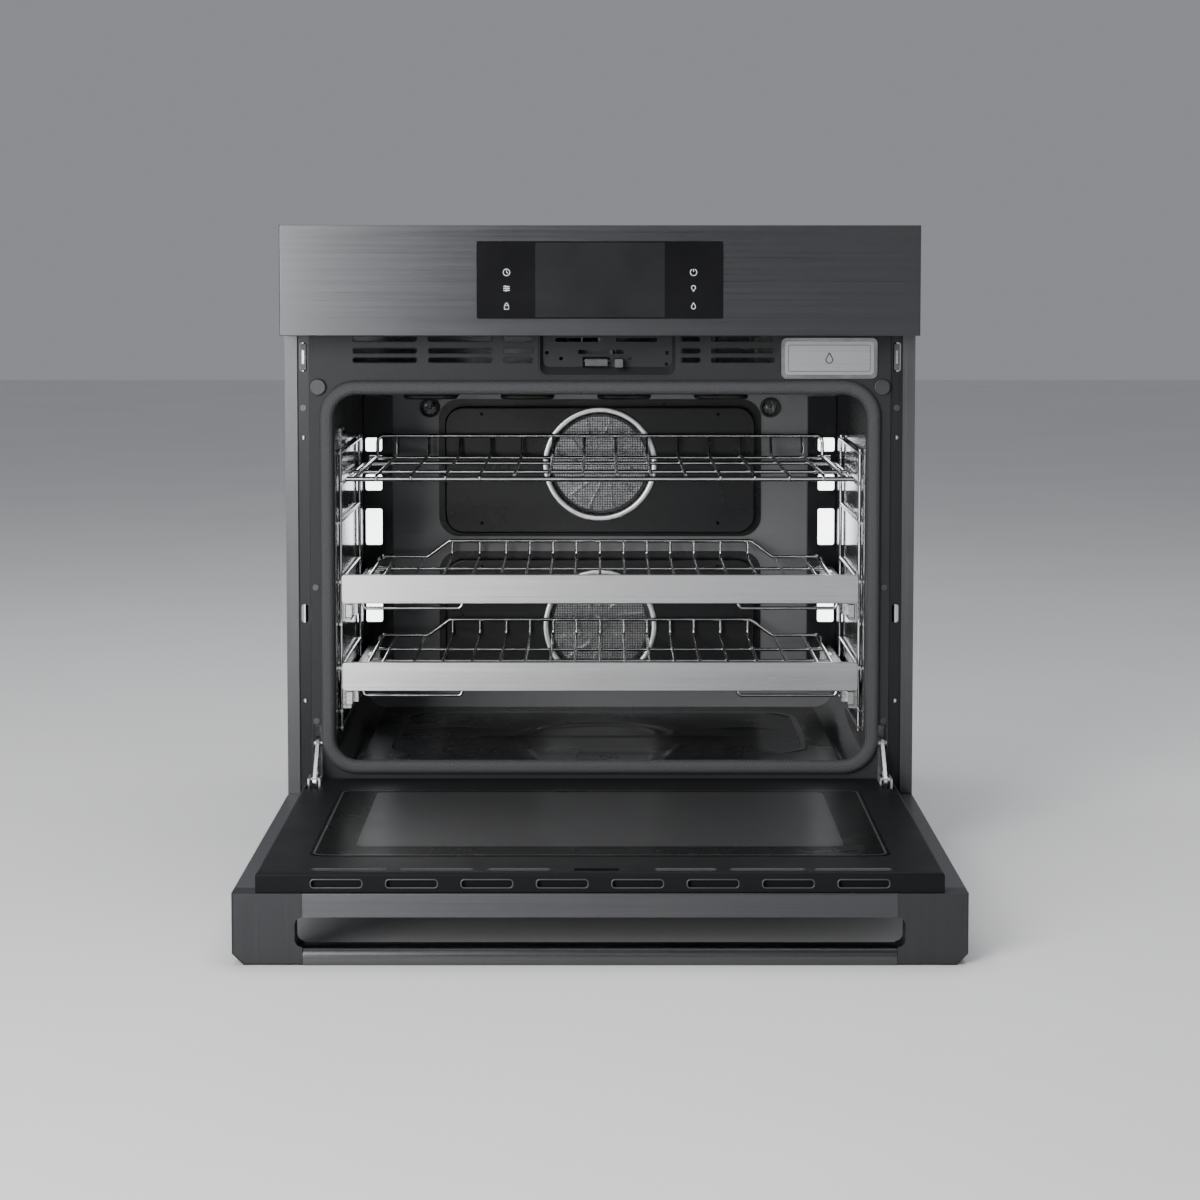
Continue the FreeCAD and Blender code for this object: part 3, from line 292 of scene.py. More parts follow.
finishes = {
    "graphite": brushedMetal("graphiteSteel", {
        "metallic": 1.0, "dark": (0.088, 0.09, 0.094), "light": (0.108, 0.111, 0.116),
        "rough": 0.3, "stretch": (5.0, 900.0, 1500.0), "depth": 0.035, "aniso": 0.8,
        "along": (1.0, 0.0, 0.0)}),
    "graphiteSide": brushedMetal("graphiteDoor", {
        "metallic": 1.0, "dark": (0.08, 0.082, 0.086), "light": (0.10, 0.1025, 0.107),
        "rough": 0.34, "stretch": (6.0, 1200.0, 1400.0), "depth": 0.03, "aniso": 0.6,
        "along": (1.0, 0.0, 0.0)}),
    "graphiteBlock": brushedMetal("graphiteBlock", {
        "metallic": 1.0, "dark": (0.044, 0.045, 0.047), "light": (0.054, 0.055, 0.058),
        "rough": 0.38, "stretch": (1200.0, 1200.0, 9.0), "depth": 0.03, "aniso": 0.5,
        "along": (0.0, 0.0, 1.0)}),
    "handle": brushedMetal("graphiteHandle", {
        "metallic": 1.0, "dark": (0.085, 0.087, 0.09), "light": (0.105, 0.107, 0.111),
        "rough": 0.24, "stretch": (5.0, 1400.0, 1400.0), "depth": 0.02, "aniso": 0.5,
        "along": (1.0, 0.0, 0.0)}),
    "trim": brushedMetal("brushedTrim", {
        "metallic": 1.0, "dark": (0.56, 0.56, 0.565), "light": (0.67, 0.67, 0.675),
        "rough": 0.3, "stretch": (5.0, 700.0, 1600.0), "depth": 0.05, "aniso": 0.6,
        "along": (1.0, 0.0, 0.0)}),
    "uprightTrim": brushedMetal("uprightTrim", {
        "metallic": 1.0, "dark": (0.075, 0.076, 0.078), "light": (0.092, 0.094, 0.097),
        "rough": 0.34, "stretch": (1400.0, 900.0, 5.0), "depth": 0.04, "aniso": 0.5,
        "along": (0.0, 0.0, 1.0), "channelHalf": 0.3645, "channelTone": (0.028, 0.0285, 0.03)}),
    "slide": brushedMetal("slideSteel", {
        "metallic": 1.0, "dark": (0.52, 0.52, 0.52), "light": (0.70, 0.70, 0.70), "rough": 0.26,
        "stretch": (500.0, 8.0, 900.0), "depth": 0.08, "aniso": 0.3, "along": (0.0, 1.0, 0.0)}),
    "zinc": plainMetal("zincSheet", {
        "metallic": 1.0, "dark": (0.42, 0.43, 0.45), "light": (0.58, 0.59, 0.61), "rough": 0.36,
        "vary": 0.2, "filmSize": 45.0, "depth": 0.08}),
    "chrome": plainMetal("polishedWire", {
        "metallic": 1.0, "dark": (0.54, 0.545, 0.55), "light": (0.66, 0.665, 0.67),
        "rough": 0.12, "vary": 0.08, "filmSize": 60.0, "depth": 0.03}),
    "element": plainMetal("elementSheath", {
        "metallic": 0.9, "dark": (0.022, 0.021, 0.02), "light": (0.05, 0.048, 0.046),
        "rough": 0.5, "vary": 0.2, "filmSize": 40.0, "depth": 0.25}),
    "motor": plainMetal("motorPaint", {
        "metallic": 0.4, "dark": (0.10, 0.105, 0.11), "light": (0.17, 0.175, 0.18),
        "rough": 0.45, "depth": 0.15}),
    "alloy": plainMetal("castAlloy", {
        "metallic": 1.0, "dark": (0.48, 0.48, 0.49), "light": (0.6, 0.6, 0.61), "rough": 0.5,
        "pitSize": 500.0, "depth": 0.4}),
    "frameBlack": enamelCoat("frameEnamel", {
        "dark": (0.021, 0.0215, 0.023), "light": (0.025, 0.0257, 0.0275), "rough": 0.34,
        "flecks": 0.0, "wave": 0.05, "specular": 0.14}),
    "liner": enamelCoat("linerEnamel", {
        "dark": (0.0068, 0.007, 0.0075), "light": (0.0082, 0.0085, 0.009), "rough": 0.36,
        "flecks": 0.0, "wave": 0.05, "specular": 0.06}),
    "cavity": enamelCoat("cavityEnamel", {
        "dark": (0.011, 0.0113, 0.0125), "light": (0.0145, 0.0148, 0.0163), "rough": 0.12,
        "flecks": 0.10, "wave": 0.07, "fleck": (0.10, 0.105, 0.12), "coat": 0.12,
        "coatRough": 0.06, "specular": 0.32}),
    "floorEnamel": enamelCoat("floorEnamel", {
        "dark": (0.010, 0.0103, 0.0113), "light": (0.012, 0.0123, 0.0135), "rough": 0.24,
        "flecks": 0.10, "wave": 0.07, "fleck": (0.08, 0.085, 0.095), "coat": 0.05,
        "coatRough": 0.2, "specular": 0.26}),
    # back wall: the base colour is set far lighter than the other cavity enamel as painted light, standing
    # in for lamp light and reflections on the glossy rear wall
    "backWall": enamelCoat("backWallPaintedLight", {
        "dark": (0.15, 0.152, 0.157), "light": (0.17, 0.172, 0.177), "rough": 0.3,
        "flecks": 0.08, "wave": 0.07, "fleck": (0.2, 0.21, 0.23), "coat": 0.5, "coatRough": 0.2}),
    # baffle: the side walls of the pan take a near-black colour as painted shade
    "baffle": enamelCoat("baffleEnamel", {
        "dark": (0.013, 0.0133, 0.0144), "light": (0.0155, 0.0158, 0.017), "rough": 0.24,
        "flecks": 0.10, "wave": 0.06, "fleck": (0.10, 0.105, 0.12), "coat": 0.08,
        "coatRough": 0.15, "specular": 0.3, "sidePaintedShade": (0.0015, 0.0015, 0.0015)}),
    "blackPlastic": mouldedPlastic("blackPlastic", {
        "dark": (0.012, 0.012, 0.013), "light": (0.024, 0.024, 0.026), "rough": 0.42,
        "worn": (0.08, 0.08, 0.085)}),
    "palePlastic": mouldedPlastic("palePlastic", {
        "dark": (0.62, 0.62, 0.60), "light": (0.74, 0.74, 0.72), "rough": 0.38}),
    "board": mouldedPlastic("boardLacquer", {
        "dark": (0.01, 0.08, 0.04), "light": (0.02, 0.13, 0.07), "rough": 0.3,
        "filmSize": 120.0}),
    "braid": wovenBraid("gasketBraid", {
        "dark": (0.016, 0.016, 0.017), "light": (0.05, 0.051, 0.054), "rough": 0.62,
        "strands": 110.0}),
    "wool": wovenBraid("glassWool", {
        "dark": (0.45, 0.42, 0.30), "light": (0.66, 0.62, 0.46), "rough": 0.9, "strands": 60.0}),
    "clearGlass": tintedGlass("clearGlass", {
        "dark": (0.9, 0.93, 0.95), "light": (0.97, 0.98, 0.99), "rough": 0.03, "clear": 1.0}),
    "tank": tintedGlass("tankPlastic", {
        "dark": (0.72, 0.78, 0.82), "light": (0.85, 0.88, 0.9), "rough": 0.12, "clear": 0.8}),
    "darkGlass": tintedGlass("darkGlass", {
        "dark": (0.003, 0.003, 0.0032), "light": (0.006, 0.006, 0.0064), "rough": 0.12,
        "specular": 0.3}),
    "doorGlass": tintedGlass("doorGlass", {
        "dark": (0.0042, 0.0043, 0.0045), "light": (0.0046, 0.0047, 0.0049), "rough": 0.26,
        "specular": 0.015}),
    # the clear window of the inner door glass: a lighter opaque tint as painted reflection
    "windowPaintedReflection": tintedGlass("windowPaintedReflection", {
        "dark": (0.026, 0.0264, 0.0268), "light": (0.028, 0.0284, 0.0288), "rough": 0.3,
        "specular": 0.06}),
    "meshWire": plainMetal("meshWire", {
        "metallic": 1.0, "dark": (0.06, 0.062, 0.064), "light": (0.1, 0.102, 0.105),
        "rough": 0.34, "vary": 0.1, "filmSize": 90.0, "depth": 0.03}),
    "guardRing": plainMetal("guardRing", {
        "metallic": 1.0, "dark": (0.62, 0.62, 0.625), "light": (0.76, 0.76, 0.765),
        "rough": 0.3, "vary": 0.08, "filmSize": 40.0, "depth": 0.03}),
    "screen": tintedGlass("screenGlass", {
        "dark": (0.010, 0.0103, 0.011), "light": (0.016, 0.0163, 0.017), "rough": 0.16,
        "specular": 0.35}),
    "lip": plainMetal("foldedLip", {
        "metallic": 0.0, "dark": (0.024, 0.0245, 0.026), "light": (0.036, 0.0365, 0.039),
        "rough": 0.28, "depth": 0.04}),
    # dark screw metal; the same finish is also painted shade on the component deck
    "darkScrewAndShade": plainMetal("darkScrewAndShade", {
        "metallic": 0.8, "dark": (0.05, 0.051, 0.053), "light": (0.09, 0.091, 0.094),
        "rough": 0.34, "depth": 0.04}),
    "iconPrint": mouldedPlastic("iconPrint", {
        "dark": (0.72, 0.73, 0.74), "light": (0.82, 0.83, 0.84), "rough": 0.5}),
    "etched": plainMetal("etchedMark", {
        "metallic": 0.6, "dark": (0.05, 0.05, 0.052), "light": (0.09, 0.09, 0.092),
        "rough": 0.5, "depth": 0.1}),
    "frosted": mouldedPlastic("frostedPane", {
        "dark": (0.62, 0.64, 0.66), "light": (0.78, 0.80, 0.82), "rough": 0.45, "glow": 7.0}),
}

# which finish each CAD part wears
finishOf = {
    "side_panels": "zinc", "base_pan": "zinc", "top_cover": "zinc", "rear_cover": "zinc",
    # the component deck is galvanised sheet, but wears the dark screw finish as painted shade, since it sits
    # in shade behind the front slots
    "component_deck": "darkScrewAndShade", "front_frame": "frameBlack", "front_trims": "uprightTrim",
    "frame_screws": "darkScrewAndShade", "oven_cavity": "cavity", "cavity_back": "backWall",
    "insulation_blanket": "wool", "door_gasket": "braid", "bumper_caps": "blackPlastic",
    "latch_pocket": "frameBlack", "latch_bracket": "darkScrewAndShade", "latch_hook": "darkScrewAndShade",
    "door_switch_plunger": "blackPlastic", "upper_fan_baffle": "baffle",
    "lower_fan_baffle": "baffle", "fan_guards": "guardRing", "upper_fan_wheel": "slide",
    "lower_fan_wheel": "slide", "heating_elements": "element", "fan_motors": "motor",
    "lamp_bezels": "blackPlastic", "light_glass": "clearGlass", "light_columns": "cavity",
    "rack_ladders": "chrome", "cavity_sensors": "slide", "upper_rack": "chrome",
    "middle_rack": "chrome", "middle_rack_trim": "trim", "middle_inner_rails": "slide",
    "middle_slide_members": "slide", "lower_rack": "chrome", "lower_rack_trim": "trim",
    "lower_inner_rails": "slide", "lower_slide_members": "slide", "fixed_rails": "slide",
    "door_skin": "graphiteSide", "door_outer_panes": "darkGlass", "door_liner": "liner",
    "door_inner_glass": "doorGlass", "handle_bar": "handle", "handle_mount": "graphiteBlock",
    "hinge_receivers": "zinc", "hinge_links": "slide", "hinge_brackets": "zinc",
    "control_panel": "graphite", "display_glass": "darkGlass", "control_boards": "board",
    "blower_housing": "zinc", "blower_wheel": "zinc", "junction_box": "zinc",
    "reservoir_housing": "palePlastic", "reservoir_tank": "tank", "reservoir_bezel": "chrome",
    "reservoir_plate": "trim", "water_pump": "palePlastic", "steam_boiler": "alloy",
}


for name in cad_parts:
    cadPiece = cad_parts[name]
    for slotItem in cadPiece.material_slots:
        slotItem.link = "OBJECT"
        slotItem.material = finishes[finishOf[name]]
print("finishes on", len(finishOf), "parts")


# shaping tools
def meshFrom(maker, name):
    mesh = bpy.data.meshes.new(name)
    bmesh.ops.recalc_face_normals(maker, faces=maker.faces)
    maker.to_mesh(mesh)
    maker.free()
    return mesh


def finishPiece(name, maker, finish, body, smooth=True):
    mesh = meshFrom(maker, name)
    piece = bpy.data.objects.new(name, mesh)
    bpy.context.collection.objects.link(piece)
    mesh.materials.append(finishes[finish])
    for polygon in mesh.polygons:
        polygon.use_smooth = smooth
    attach(piece, body)
    return piece


def roundedOutline(width, height, radius, steps=8):
    points = []
    for cornerX, cornerZ, start in ((1, 1, 0), (-1, 1, 90), (-1, -1, 180), (1, -1, 270)):
        for k in range(steps + 1):
            angle = math.radians(start + 90 * k / steps)
            points.append((cornerX * (width / 2 - radius) + radius * math.cos(angle),
                           cornerZ * (height / 2 - radius) + radius * math.sin(angle)))
    return points


# a flat form from an outline in the X-Z plane, from depth y0 to y1
def extrudeOutline(maker, points, y0, y1, centre=(0.0, 0.0)):
    front = [maker.verts.new((centre[0] + x, y0, centre[1] + z)) for x, z in points]
    back = [maker.verts.new((centre[0] + x, y1, centre[1] + z)) for x, z in points]
    maker.faces.new(front)
    maker.faces.new(list(reversed(back)))
    for k in range(len(points)):
        n = (k + 1) % len(points)
        maker.faces.new((front[n], front[k], back[k], back[n]))


# a strip of quads that follows a line of points with one half width across
def ribbon(maker, points, half, closed=False, lift=0.0):
    rows = []
    count = len(points)
    for k, point in enumerate(points):
        before = points[(k - 1) % count] if closed or k else point
        after = points[(k + 1) % count] if closed or k < count - 1 else point
        way = Vector((after[0] - before[0], after[1] - before[1])).normalized()
        side = Vector((-way.y, way.x)) * half
        rows.append([maker.verts.new((point[0] + side.x, lift, point[1] + side.y)),
                     maker.verts.new((point[0] - side.x, lift, point[1] - side.y))])
    last = count if closed else count - 1
    for k in range(last):
        a, b = rows[k], rows[(k + 1) % count]
        maker.faces.new((a[0], a[1], b[1], b[0]))


# a turned form round an axis that runs front to back
def revolve(maker, profile, centre, steps):
    rings = []
    for radius, depth in profile:
        loop = []
        for k in range(steps):
            angle = 2 * math.pi * k / steps
            a, b = centre[0] + radius * math.cos(angle), centre[1] + radius * math.sin(angle)
            loop.append(maker.verts.new((a, depth, b)))
        rings.append(loop)
    for a, b in zip(rings, rings[1:]):
        for k in range(steps):
            n = (k + 1) % steps
            maker.faces.new((a[k], a[n], b[n], b[k]))


# fan guards: pressed ring and woven mesh
fanGuard = {"pitch": 0.0034, "strand": 0.00042, "weave": 0.0005, "ringInner": 0.0697, "sides": 5}


def weaveStrand(maker, at, reach, across, centre, depth, phase):
    pitch, radius = fanGuard["pitch"], fanGuard["strand"]
    count = max(int(2 * reach / pitch * 2), 4)
    previous = None
    for k in range(count + 1):
        along = -reach + 2 * reach * k / count
        wave = depth + fanGuard["weave"] * math.cos(math.pi * along / pitch + phase)
        loop = []
        for j in range(fanGuard["sides"]):
            angle = 2 * math.pi * j / fanGuard["sides"]
            side, lift = radius * math.cos(angle), radius * math.sin(angle)
            if across:
                loop.append(maker.verts.new((centre[0] + along, wave + lift, centre[1] + at + side)))
            else:
                loop.append(maker.verts.new((centre[0] + at + side, wave + lift, centre[1] + along)))
        if previous:
            for j in range(fanGuard["sides"]):
                n = (j + 1) % fanGuard["sides"]
                maker.faces.new((previous[j], previous[n], loop[n], loop[j]))
        previous = loop


def buildFanGuards():
    low, high = nodeBox["fan_guards"]
    outer = (high.x - low.x) / 2
    front, back = low.y, high.y
    middleX = (low.x + high.x) / 2
    rings, meshes = bmesh.new(), bmesh.new()
    for height in (high.z - outer, low.z + outer):
        inner = fanGuard["ringInner"]
        profile = [(outer, back), (outer, front + 0.0014), (outer - 0.0006, front + 0.0004),
                   (outer - 0.0018, front), (inner + 0.0016, front),
                   (inner + 0.0004, front + 0.0005), (inner, front + 0.0016), (inner, back)]
        revolve(rings, profile, (middleX, height), 96)
        count = int(inner / fanGuard["pitch"])
        for k in range(-count, count + 1):
            at = k * fanGuard["pitch"]
            reach = math.sqrt((inner + 0.001) ** 2 - at ** 2)
            phase = math.pi * (k % 2)
            weaveStrand(meshes, at, reach, True, (middleX, height), back - 0.0015, phase)
            weaveStrand(meshes, at, reach, False, (middleX, height), back - 0.0015, phase + math.pi)
    ringPiece = finishPiece("fanGuardRings", rings, "guardRing", "chassis")
    meshPiece = finishPiece("fanGuardMesh", meshes, "meshWire", "chassis")
    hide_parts("fan_guards")
    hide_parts("fan_guards")


buildFanGuards()
print("fan guards woven")

# display: screen area, key icons, reservoir icon
display = {
    "screenHalf": 0.0765, "screenInset": 0.003, "screenRadius": 0.0006, "screenLift": 0.0001,
    "screenDepth": 0.0004, "iconSize": 0.0078, "line": 0.00036, "lift": 0.00012, "keyX": 0.1106,
    "rows": (0.0559, 0.0749, 0.0955),
}


def arcPoints(centre, radius, start, end, steps=20):
    points = []
    for k in range(steps + 1):
        angle = math.radians(start + (end - start) * k / steps)
        points.append((centre[0] + radius * math.cos(angle), centre[1] + radius * math.sin(angle)))
    return points


def iconStrokes(kind, centre, size):
    x, z = centre
    r = size / 2
    if kind == "clock":
        return [arcPoints(centre, r, 0, 360), [(x, z + 0.6 * r), (x, z), (x + 0.45 * r, z - 0.25 * r)]]
    if kind == "sliders":
        strokes = []
        for row, knob in ((0.6, -0.3), (0.0, 0.35), (-0.6, -0.1)):
            strokes.append([(x - r, z + row * r), (x + (knob - 0.2) * r, z + row * r)])
            strokes.append([(x + (knob + 0.2) * r, z + row * r), (x + r, z + row * r)])
            strokes.append(arcPoints((x + knob * r, z + row * r), 0.2 * r, 0, 360, 10))
        return strokes
    if kind == "padlock":
        left, right, low, high = x - 0.65 * r, x + 0.65 * r, z - r, z + 0.1 * r
        body = [(left, low), (right, low), (right, high), (left, high), (left, low)]
        shackle = arcPoints((x, z + 0.45 * r), 0.4 * r, 180, 0)
        return [body, [(x - 0.4 * r, high)] + shackle + [(x + 0.4 * r, high)]]
    if kind == "power":
        return [arcPoints(centre, r, 115, 425), [(x, z + r), (x, z + 0.15 * r)]]
    if kind == "lamp":
        bulb = arcPoints((x, z + 0.25 * r), 0.62 * r, -55, 235)
        collar = [(x - 0.3 * r, z - 0.5 * r), (x + 0.3 * r, z - 0.5 * r)]
        return [bulb, collar, [(x - 0.22 * r, z - 0.8 * r), (x + 0.22 * r, z - 0.8 * r)]]
    drop = [(x, z + r)] + arcPoints((x, z - 0.3 * r), 0.62 * r, 30, -210, 24) + [(x, z + r)]
    return [drop]


def buildDisplay():
    low, high = nodeBox["display_glass"]
    panelTop = nodeBox["control_panel"][1].z
    front = low.y
    screen = bmesh.new()
    half = display["screenHalf"]
    tall = high.z - low.z - display["screenInset"]
    outline = roundedOutline(2 * half, tall, display["screenRadius"], 3)
    centre = ((low.x + high.x) / 2, (low.z + high.z) / 2)
    extrudeOutline(screen, outline, front - display["screenLift"], front + display["screenDepth"], centre)
    finishPiece("screenArea", screen, "screen", "chassis", smooth=False)
    icons = bmesh.new()
    rows = display["rows"]
    plan = [(-1, rows[0], "clock"), (-1, rows[1], "sliders"), (-1, rows[2], "padlock"),
            (1, rows[0], "power"), (1, rows[1], "lamp"), (1, rows[2], "drop")]
    for side, down, kind in plan:
        for stroke in iconStrokes(kind, (side * display["keyX"], panelTop - down), display["iconSize"]):
            ribbon(icons, stroke, display["line"], lift=front - display["lift"])
    finishPiece("keyIcons", icons, "iconPrint", "chassis", smooth=False)


buildDisplay()
print("display drawn")

# reservoir front: raised frame line and a pressed drop sign
reservoir = {
    "signSize": 0.013, "signLine": 0.0007, "inset": 0.0042, "borderRadius": 0.0025,
    "borderLine": 0.0003, "lift": 0.00012,
}


def buildReservoirFront():
    low, high = nodeBox["reservoir_plate"]
    front = low.y
    centre = ((low.x + high.x) / 2, (low.z + high.z) / 2)
    sign = bmesh.new()
    for stroke in iconStrokes("drop", centre, reservoir["signSize"]):
        ribbon(sign, stroke, reservoir["signLine"], lift=front - reservoir["lift"])
    wide, tall = high.x - low.x - 2 * reservoir["inset"], high.z - low.z - 2 * reservoir["inset"]
    outline = roundedOutline(wide, tall, reservoir["borderRadius"], 5)
    border = [(centre[0] + x, centre[1] + z) for x, z in outline]
    ribbon(sign, border, reservoir["borderLine"], closed=True, lift=front - reservoir["lift"])
    finishPiece("reservoirSign", sign, "etched", "reservoir", smooth=False)


buildReservoirFront()
print("reservoir front done")

# lights: frosted windows and rear lamp lenses
lights = {
    "windowHeights": ((0.4326, 0.4506), (0.3796, 0.4011), (0.3056, 0.3546), (0.2006, 0.2496)),
    "windowX": 0.3048, "paneWidth": 0.0256, "paneOverlap": 0.004, "paneRadius": 0.003,
    "paneFront": 0.0017, "paneBack": 0.004, "lensSteps": 48, "bulbSteps": 24,
    # radius and depth behind the bezel's face
    "lens": ((0.0001, 0.0004), (0.003, 0.0006), (0.006, 0.0013), (0.0085, 0.0025), (0.0097, 0.004)),
    "cup": ((0.0096, 0.006), (0.008, 0.014), (0.0045, 0.022), (0.0002, 0.024)),
    "bulb": ((0.0001, 0.007), (0.0022, 0.008), (0.0032, 0.011), (0.0028, 0.022)),
}


def buildLightGlass():
    column = nodeBox["light_columns"]
    bezel = nodeBox["lamp_bezels"]
    panes, lenses, reflectors = bmesh.new(), bmesh.new(), bmesh.new()
    for side in (-1, 1):
        for low, high in lights["windowHeights"]:
            tall = high - low + lights["paneOverlap"]
            outline = roundedOutline(lights["paneWidth"], tall, lights["paneRadius"], 5)
            y0, y1 = column[0].y + lights["paneFront"], column[0].y + lights["paneBack"]
            extrudeOutline(panes, outline, y0, y1, (side * lights["windowX"], (low + high) / 2))
        radius = (bezel[1].z - bezel[0].z) / 2
        centre = (side * (bezel[1].x - radius), (bezel[0].z + bezel[1].z) / 2)
        front = bezel[0].y
        for maker, part, steps in ((lenses, "lens", "lensSteps"), (reflectors, "cup", "lensSteps"),
                                   (reflectors, "bulb", "bulbSteps")):
            revolve(maker, [(r, front + y) for r, y in lights[part]], centre, lights[steps])
    panePiece = finishPiece("columnPanes", panes, "frosted", "chassis", smooth=False)
    lensPiece = finishPiece("lampLenses", lenses, "clearGlass", "chassis")
    cupPiece = finishPiece("lampReflectors", reflectors, "slide", "chassis")
    for piece in (panePiece, lensPiece, cupPiece):
        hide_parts("light_glass")


buildLightGlass()
print("lights done")

# cavity floor: pressed dish, rib and side steps
floorPress = {
    "columns": 180, "rows": 120, "lift": 0.0004, "rise": 0.0045, "sheet": 0.002, "sideGap": 0.028,
    "frontGap": 0.012, "backGap": 0.004,
}


def ridge(value, centre, width):
    return math.exp(-((value - centre) / width) ** 2)


def floorHeight(u, v):
    # u runs from -1 to 1 across, v from 0 at the mouth to 1 at the back
    x, y = u * 0.3, v * 0.44
    plate = 1 / (1 + math.exp((max(abs(x) / 0.225, abs(y - 0.22) / 0.165) - 1.0) * 38))
    ring = math.hypot(x, (y - 0.20) * 1.15)
    arc = ridge(ring, 0.098, 0.007) + 0.8 * ridge(ring, 0.074, 0.006)
    arc *= 1 / (1 + math.exp(-(y - 0.19) * 160))
    bar = ridge(y, 0.175, 0.0075) / (1 + math.exp((abs(x) - 0.165) * 220))
    legs = ridge(abs(x), 0.105 - 0.25 * (0.11 - y), 0.005) / (1 + math.exp((y - 0.12) * 300))
    wing = ridge(y, 0.245 + 0.05 * (abs(x) - 0.19), 0.008) * ridge(abs(x), 0.19, 0.04)
    return 0.5 * plate + 0.45 * arc + 0.5 * bar + 0.4 * legs + 0.4 * wing


def buildFloorPress():
    low, high = nodeBox["oven_cavity"]
    frontY = low.y + floorPress["frontGap"]
    backY = nodeBox["cavity_back"][0].y - floorPress["backGap"]
    floor = low.z + floorPress["sheet"] + floorPress["lift"]
    half = high.x - floorPress["sheet"] - floorPress["sideGap"]
    maker = bmesh.new()
    grid = []
    for row in range(floorPress["rows"] + 1):
        v = row / floorPress["rows"]
        line = []
        for column in range(floorPress["columns"] + 1):
            u = 2 * column / floorPress["columns"] - 1
            rise = max(floorHeight(u, v), 0) * floorPress["rise"]
            border = min((1 - abs(u)) / 0.04, v / 0.03, (1 - v) / 0.03, 1.0)
            place = (u * half, frontY + (backY - frontY) * v, floor + rise * max(border, 0))
            line.append(maker.verts.new(place))
        grid.append(line)
    for row in range(floorPress["rows"]):
        for column in range(floorPress["columns"]):
            near, far = grid[row], grid[row + 1]
            maker.faces.new((near[column], near[column + 1], far[column + 1], far[column]))
    finishPiece("pressedFloor", maker, "floorEnamel", "chassis")


buildFloorPress()
print("cavity floor pressed")

# outlines laid in a plane that faces forward or upward
def facingForward(a, b, depth):
    return (a, depth, b)


def facingUp(a, b, depth):
    return (a, b, depth)


def pillOutline(a0, a1, b0, b1, radius, steps=6):
    centre = ((a0 + a1) / 2, (b0 + b1) / 2)
    return [(centre[0] + a, centre[1] + b) for a, b in roundedOutline(a1 - a0, b1 - b0, radius, steps)]


# a raised bead that follows a closed outline
def beadRing(maker, outline, plane, base, rise, half):
    count = len(outline)
    loops = [[], [], []]
    for k in range(count):
        before, after = outline[k - 1], outline[(k + 1) % count]
        way = Vector((after[0] - before[0], after[1] - before[1])).normalized()
        for loop, shift, lift in zip(loops, (half, 0.0, -half), (0.0, rise, 0.0)):
            a, b = outline[k][0] + way.y * shift, outline[k][1] - way.x * shift
            loop.append(maker.verts.new(plane(a, b, base + lift)))
    for one, other in zip(loops, loops[1:]):
        for k in range(count):
            n = (k + 1) % count
            maker.faces.new((one[k], one[n], other[n], other[k]))


# folded lips round the vent slots and the slots of the door
lips = {
    "rise": 0.0007, "half": 0.0007, "edge": 0.0006, "slotRadius": 0.0028, "doorSlotRadius": 0.0034,
    "ventColumns": ((-0.2973, -0.2205), (-0.2066, -0.1298), (-0.1163, -0.0802), (0.0961, 0.1208),
                    (0.1335, 0.2105)),
    "ventRows": ((0.5938, 0.5998), (0.5795, 0.5855), (0.5684, 0.5744)),
    "doorSlotCount": 8, "doorSlotStart": -0.27125, "doorSlotPitch": 0.0775, "doorSlotHalf": 0.026,
    "doorSlotRow": (0.0501, 0.0576),
    "topSlots": ((-0.297, -0.2226), (-0.205, -0.132), (-0.115, -0.0526), (0.0576, 0.1195),
                 (0.135, 0.211), (0.2236, 0.3005)),
    "topSlotRow": (-0.575, -0.569),
}


def addLip(maker, a0, a1, b0, b1, radius, plane, base, rise):
    edge = lips["edge"]
    outline = pillOutline(a0 - edge, a1 + edge, b0 - edge, b1 + edge, radius)
    beadRing(maker, outline, plane, base, rise, lips["half"])


def buildLips():
    frameFront = nodeBox["front_frame"][0].y
    linerLow, linerHigh = nodeBox["door_liner"]
    ventMaker, doorMaker = bmesh.new(), bmesh.new()
    rise, radius = lips["rise"], lips["slotRadius"]
    for x0, x1 in lips["ventColumns"]:
        for z0, z1 in lips["ventRows"]:
            addLip(ventMaker, x0, x1, z0, z1, radius, facingForward, frameFront, -rise)
    half = lips["doorSlotHalf"]
    for k in range(lips["doorSlotCount"]):
        x = lips["doorSlotStart"] + lips["doorSlotPitch"] * k
        addLip(doorMaker, x - half, x + half, *lips["doorSlotRow"], lips["doorSlotRadius"],
               facingForward, linerLow.y, -rise)
    for x0, x1 in lips["topSlots"]:
        addLip(doorMaker, x0, x1, *lips["topSlotRow"], radius, facingUp, linerHigh.z, rise)
    finishPiece("ventLips", ventMaker, "frameBlack", "chassis")
    finishPiece("doorSlotLips", doorMaker, "lip", "door")


buildLips()
print("slot lips folded")

# printed border of the inner door glass, and a lighter pane over its clear window as painted reflection
doorPrint = {
    "windowHalf": 0.262, "windowFront": -0.452, "windowBack": -0.118, "windowRadius": 0.012,
    "edgeInset": 0.004, "edgeRadius": 0.013, "lift": 0.00015, "line": 0.0011,
}


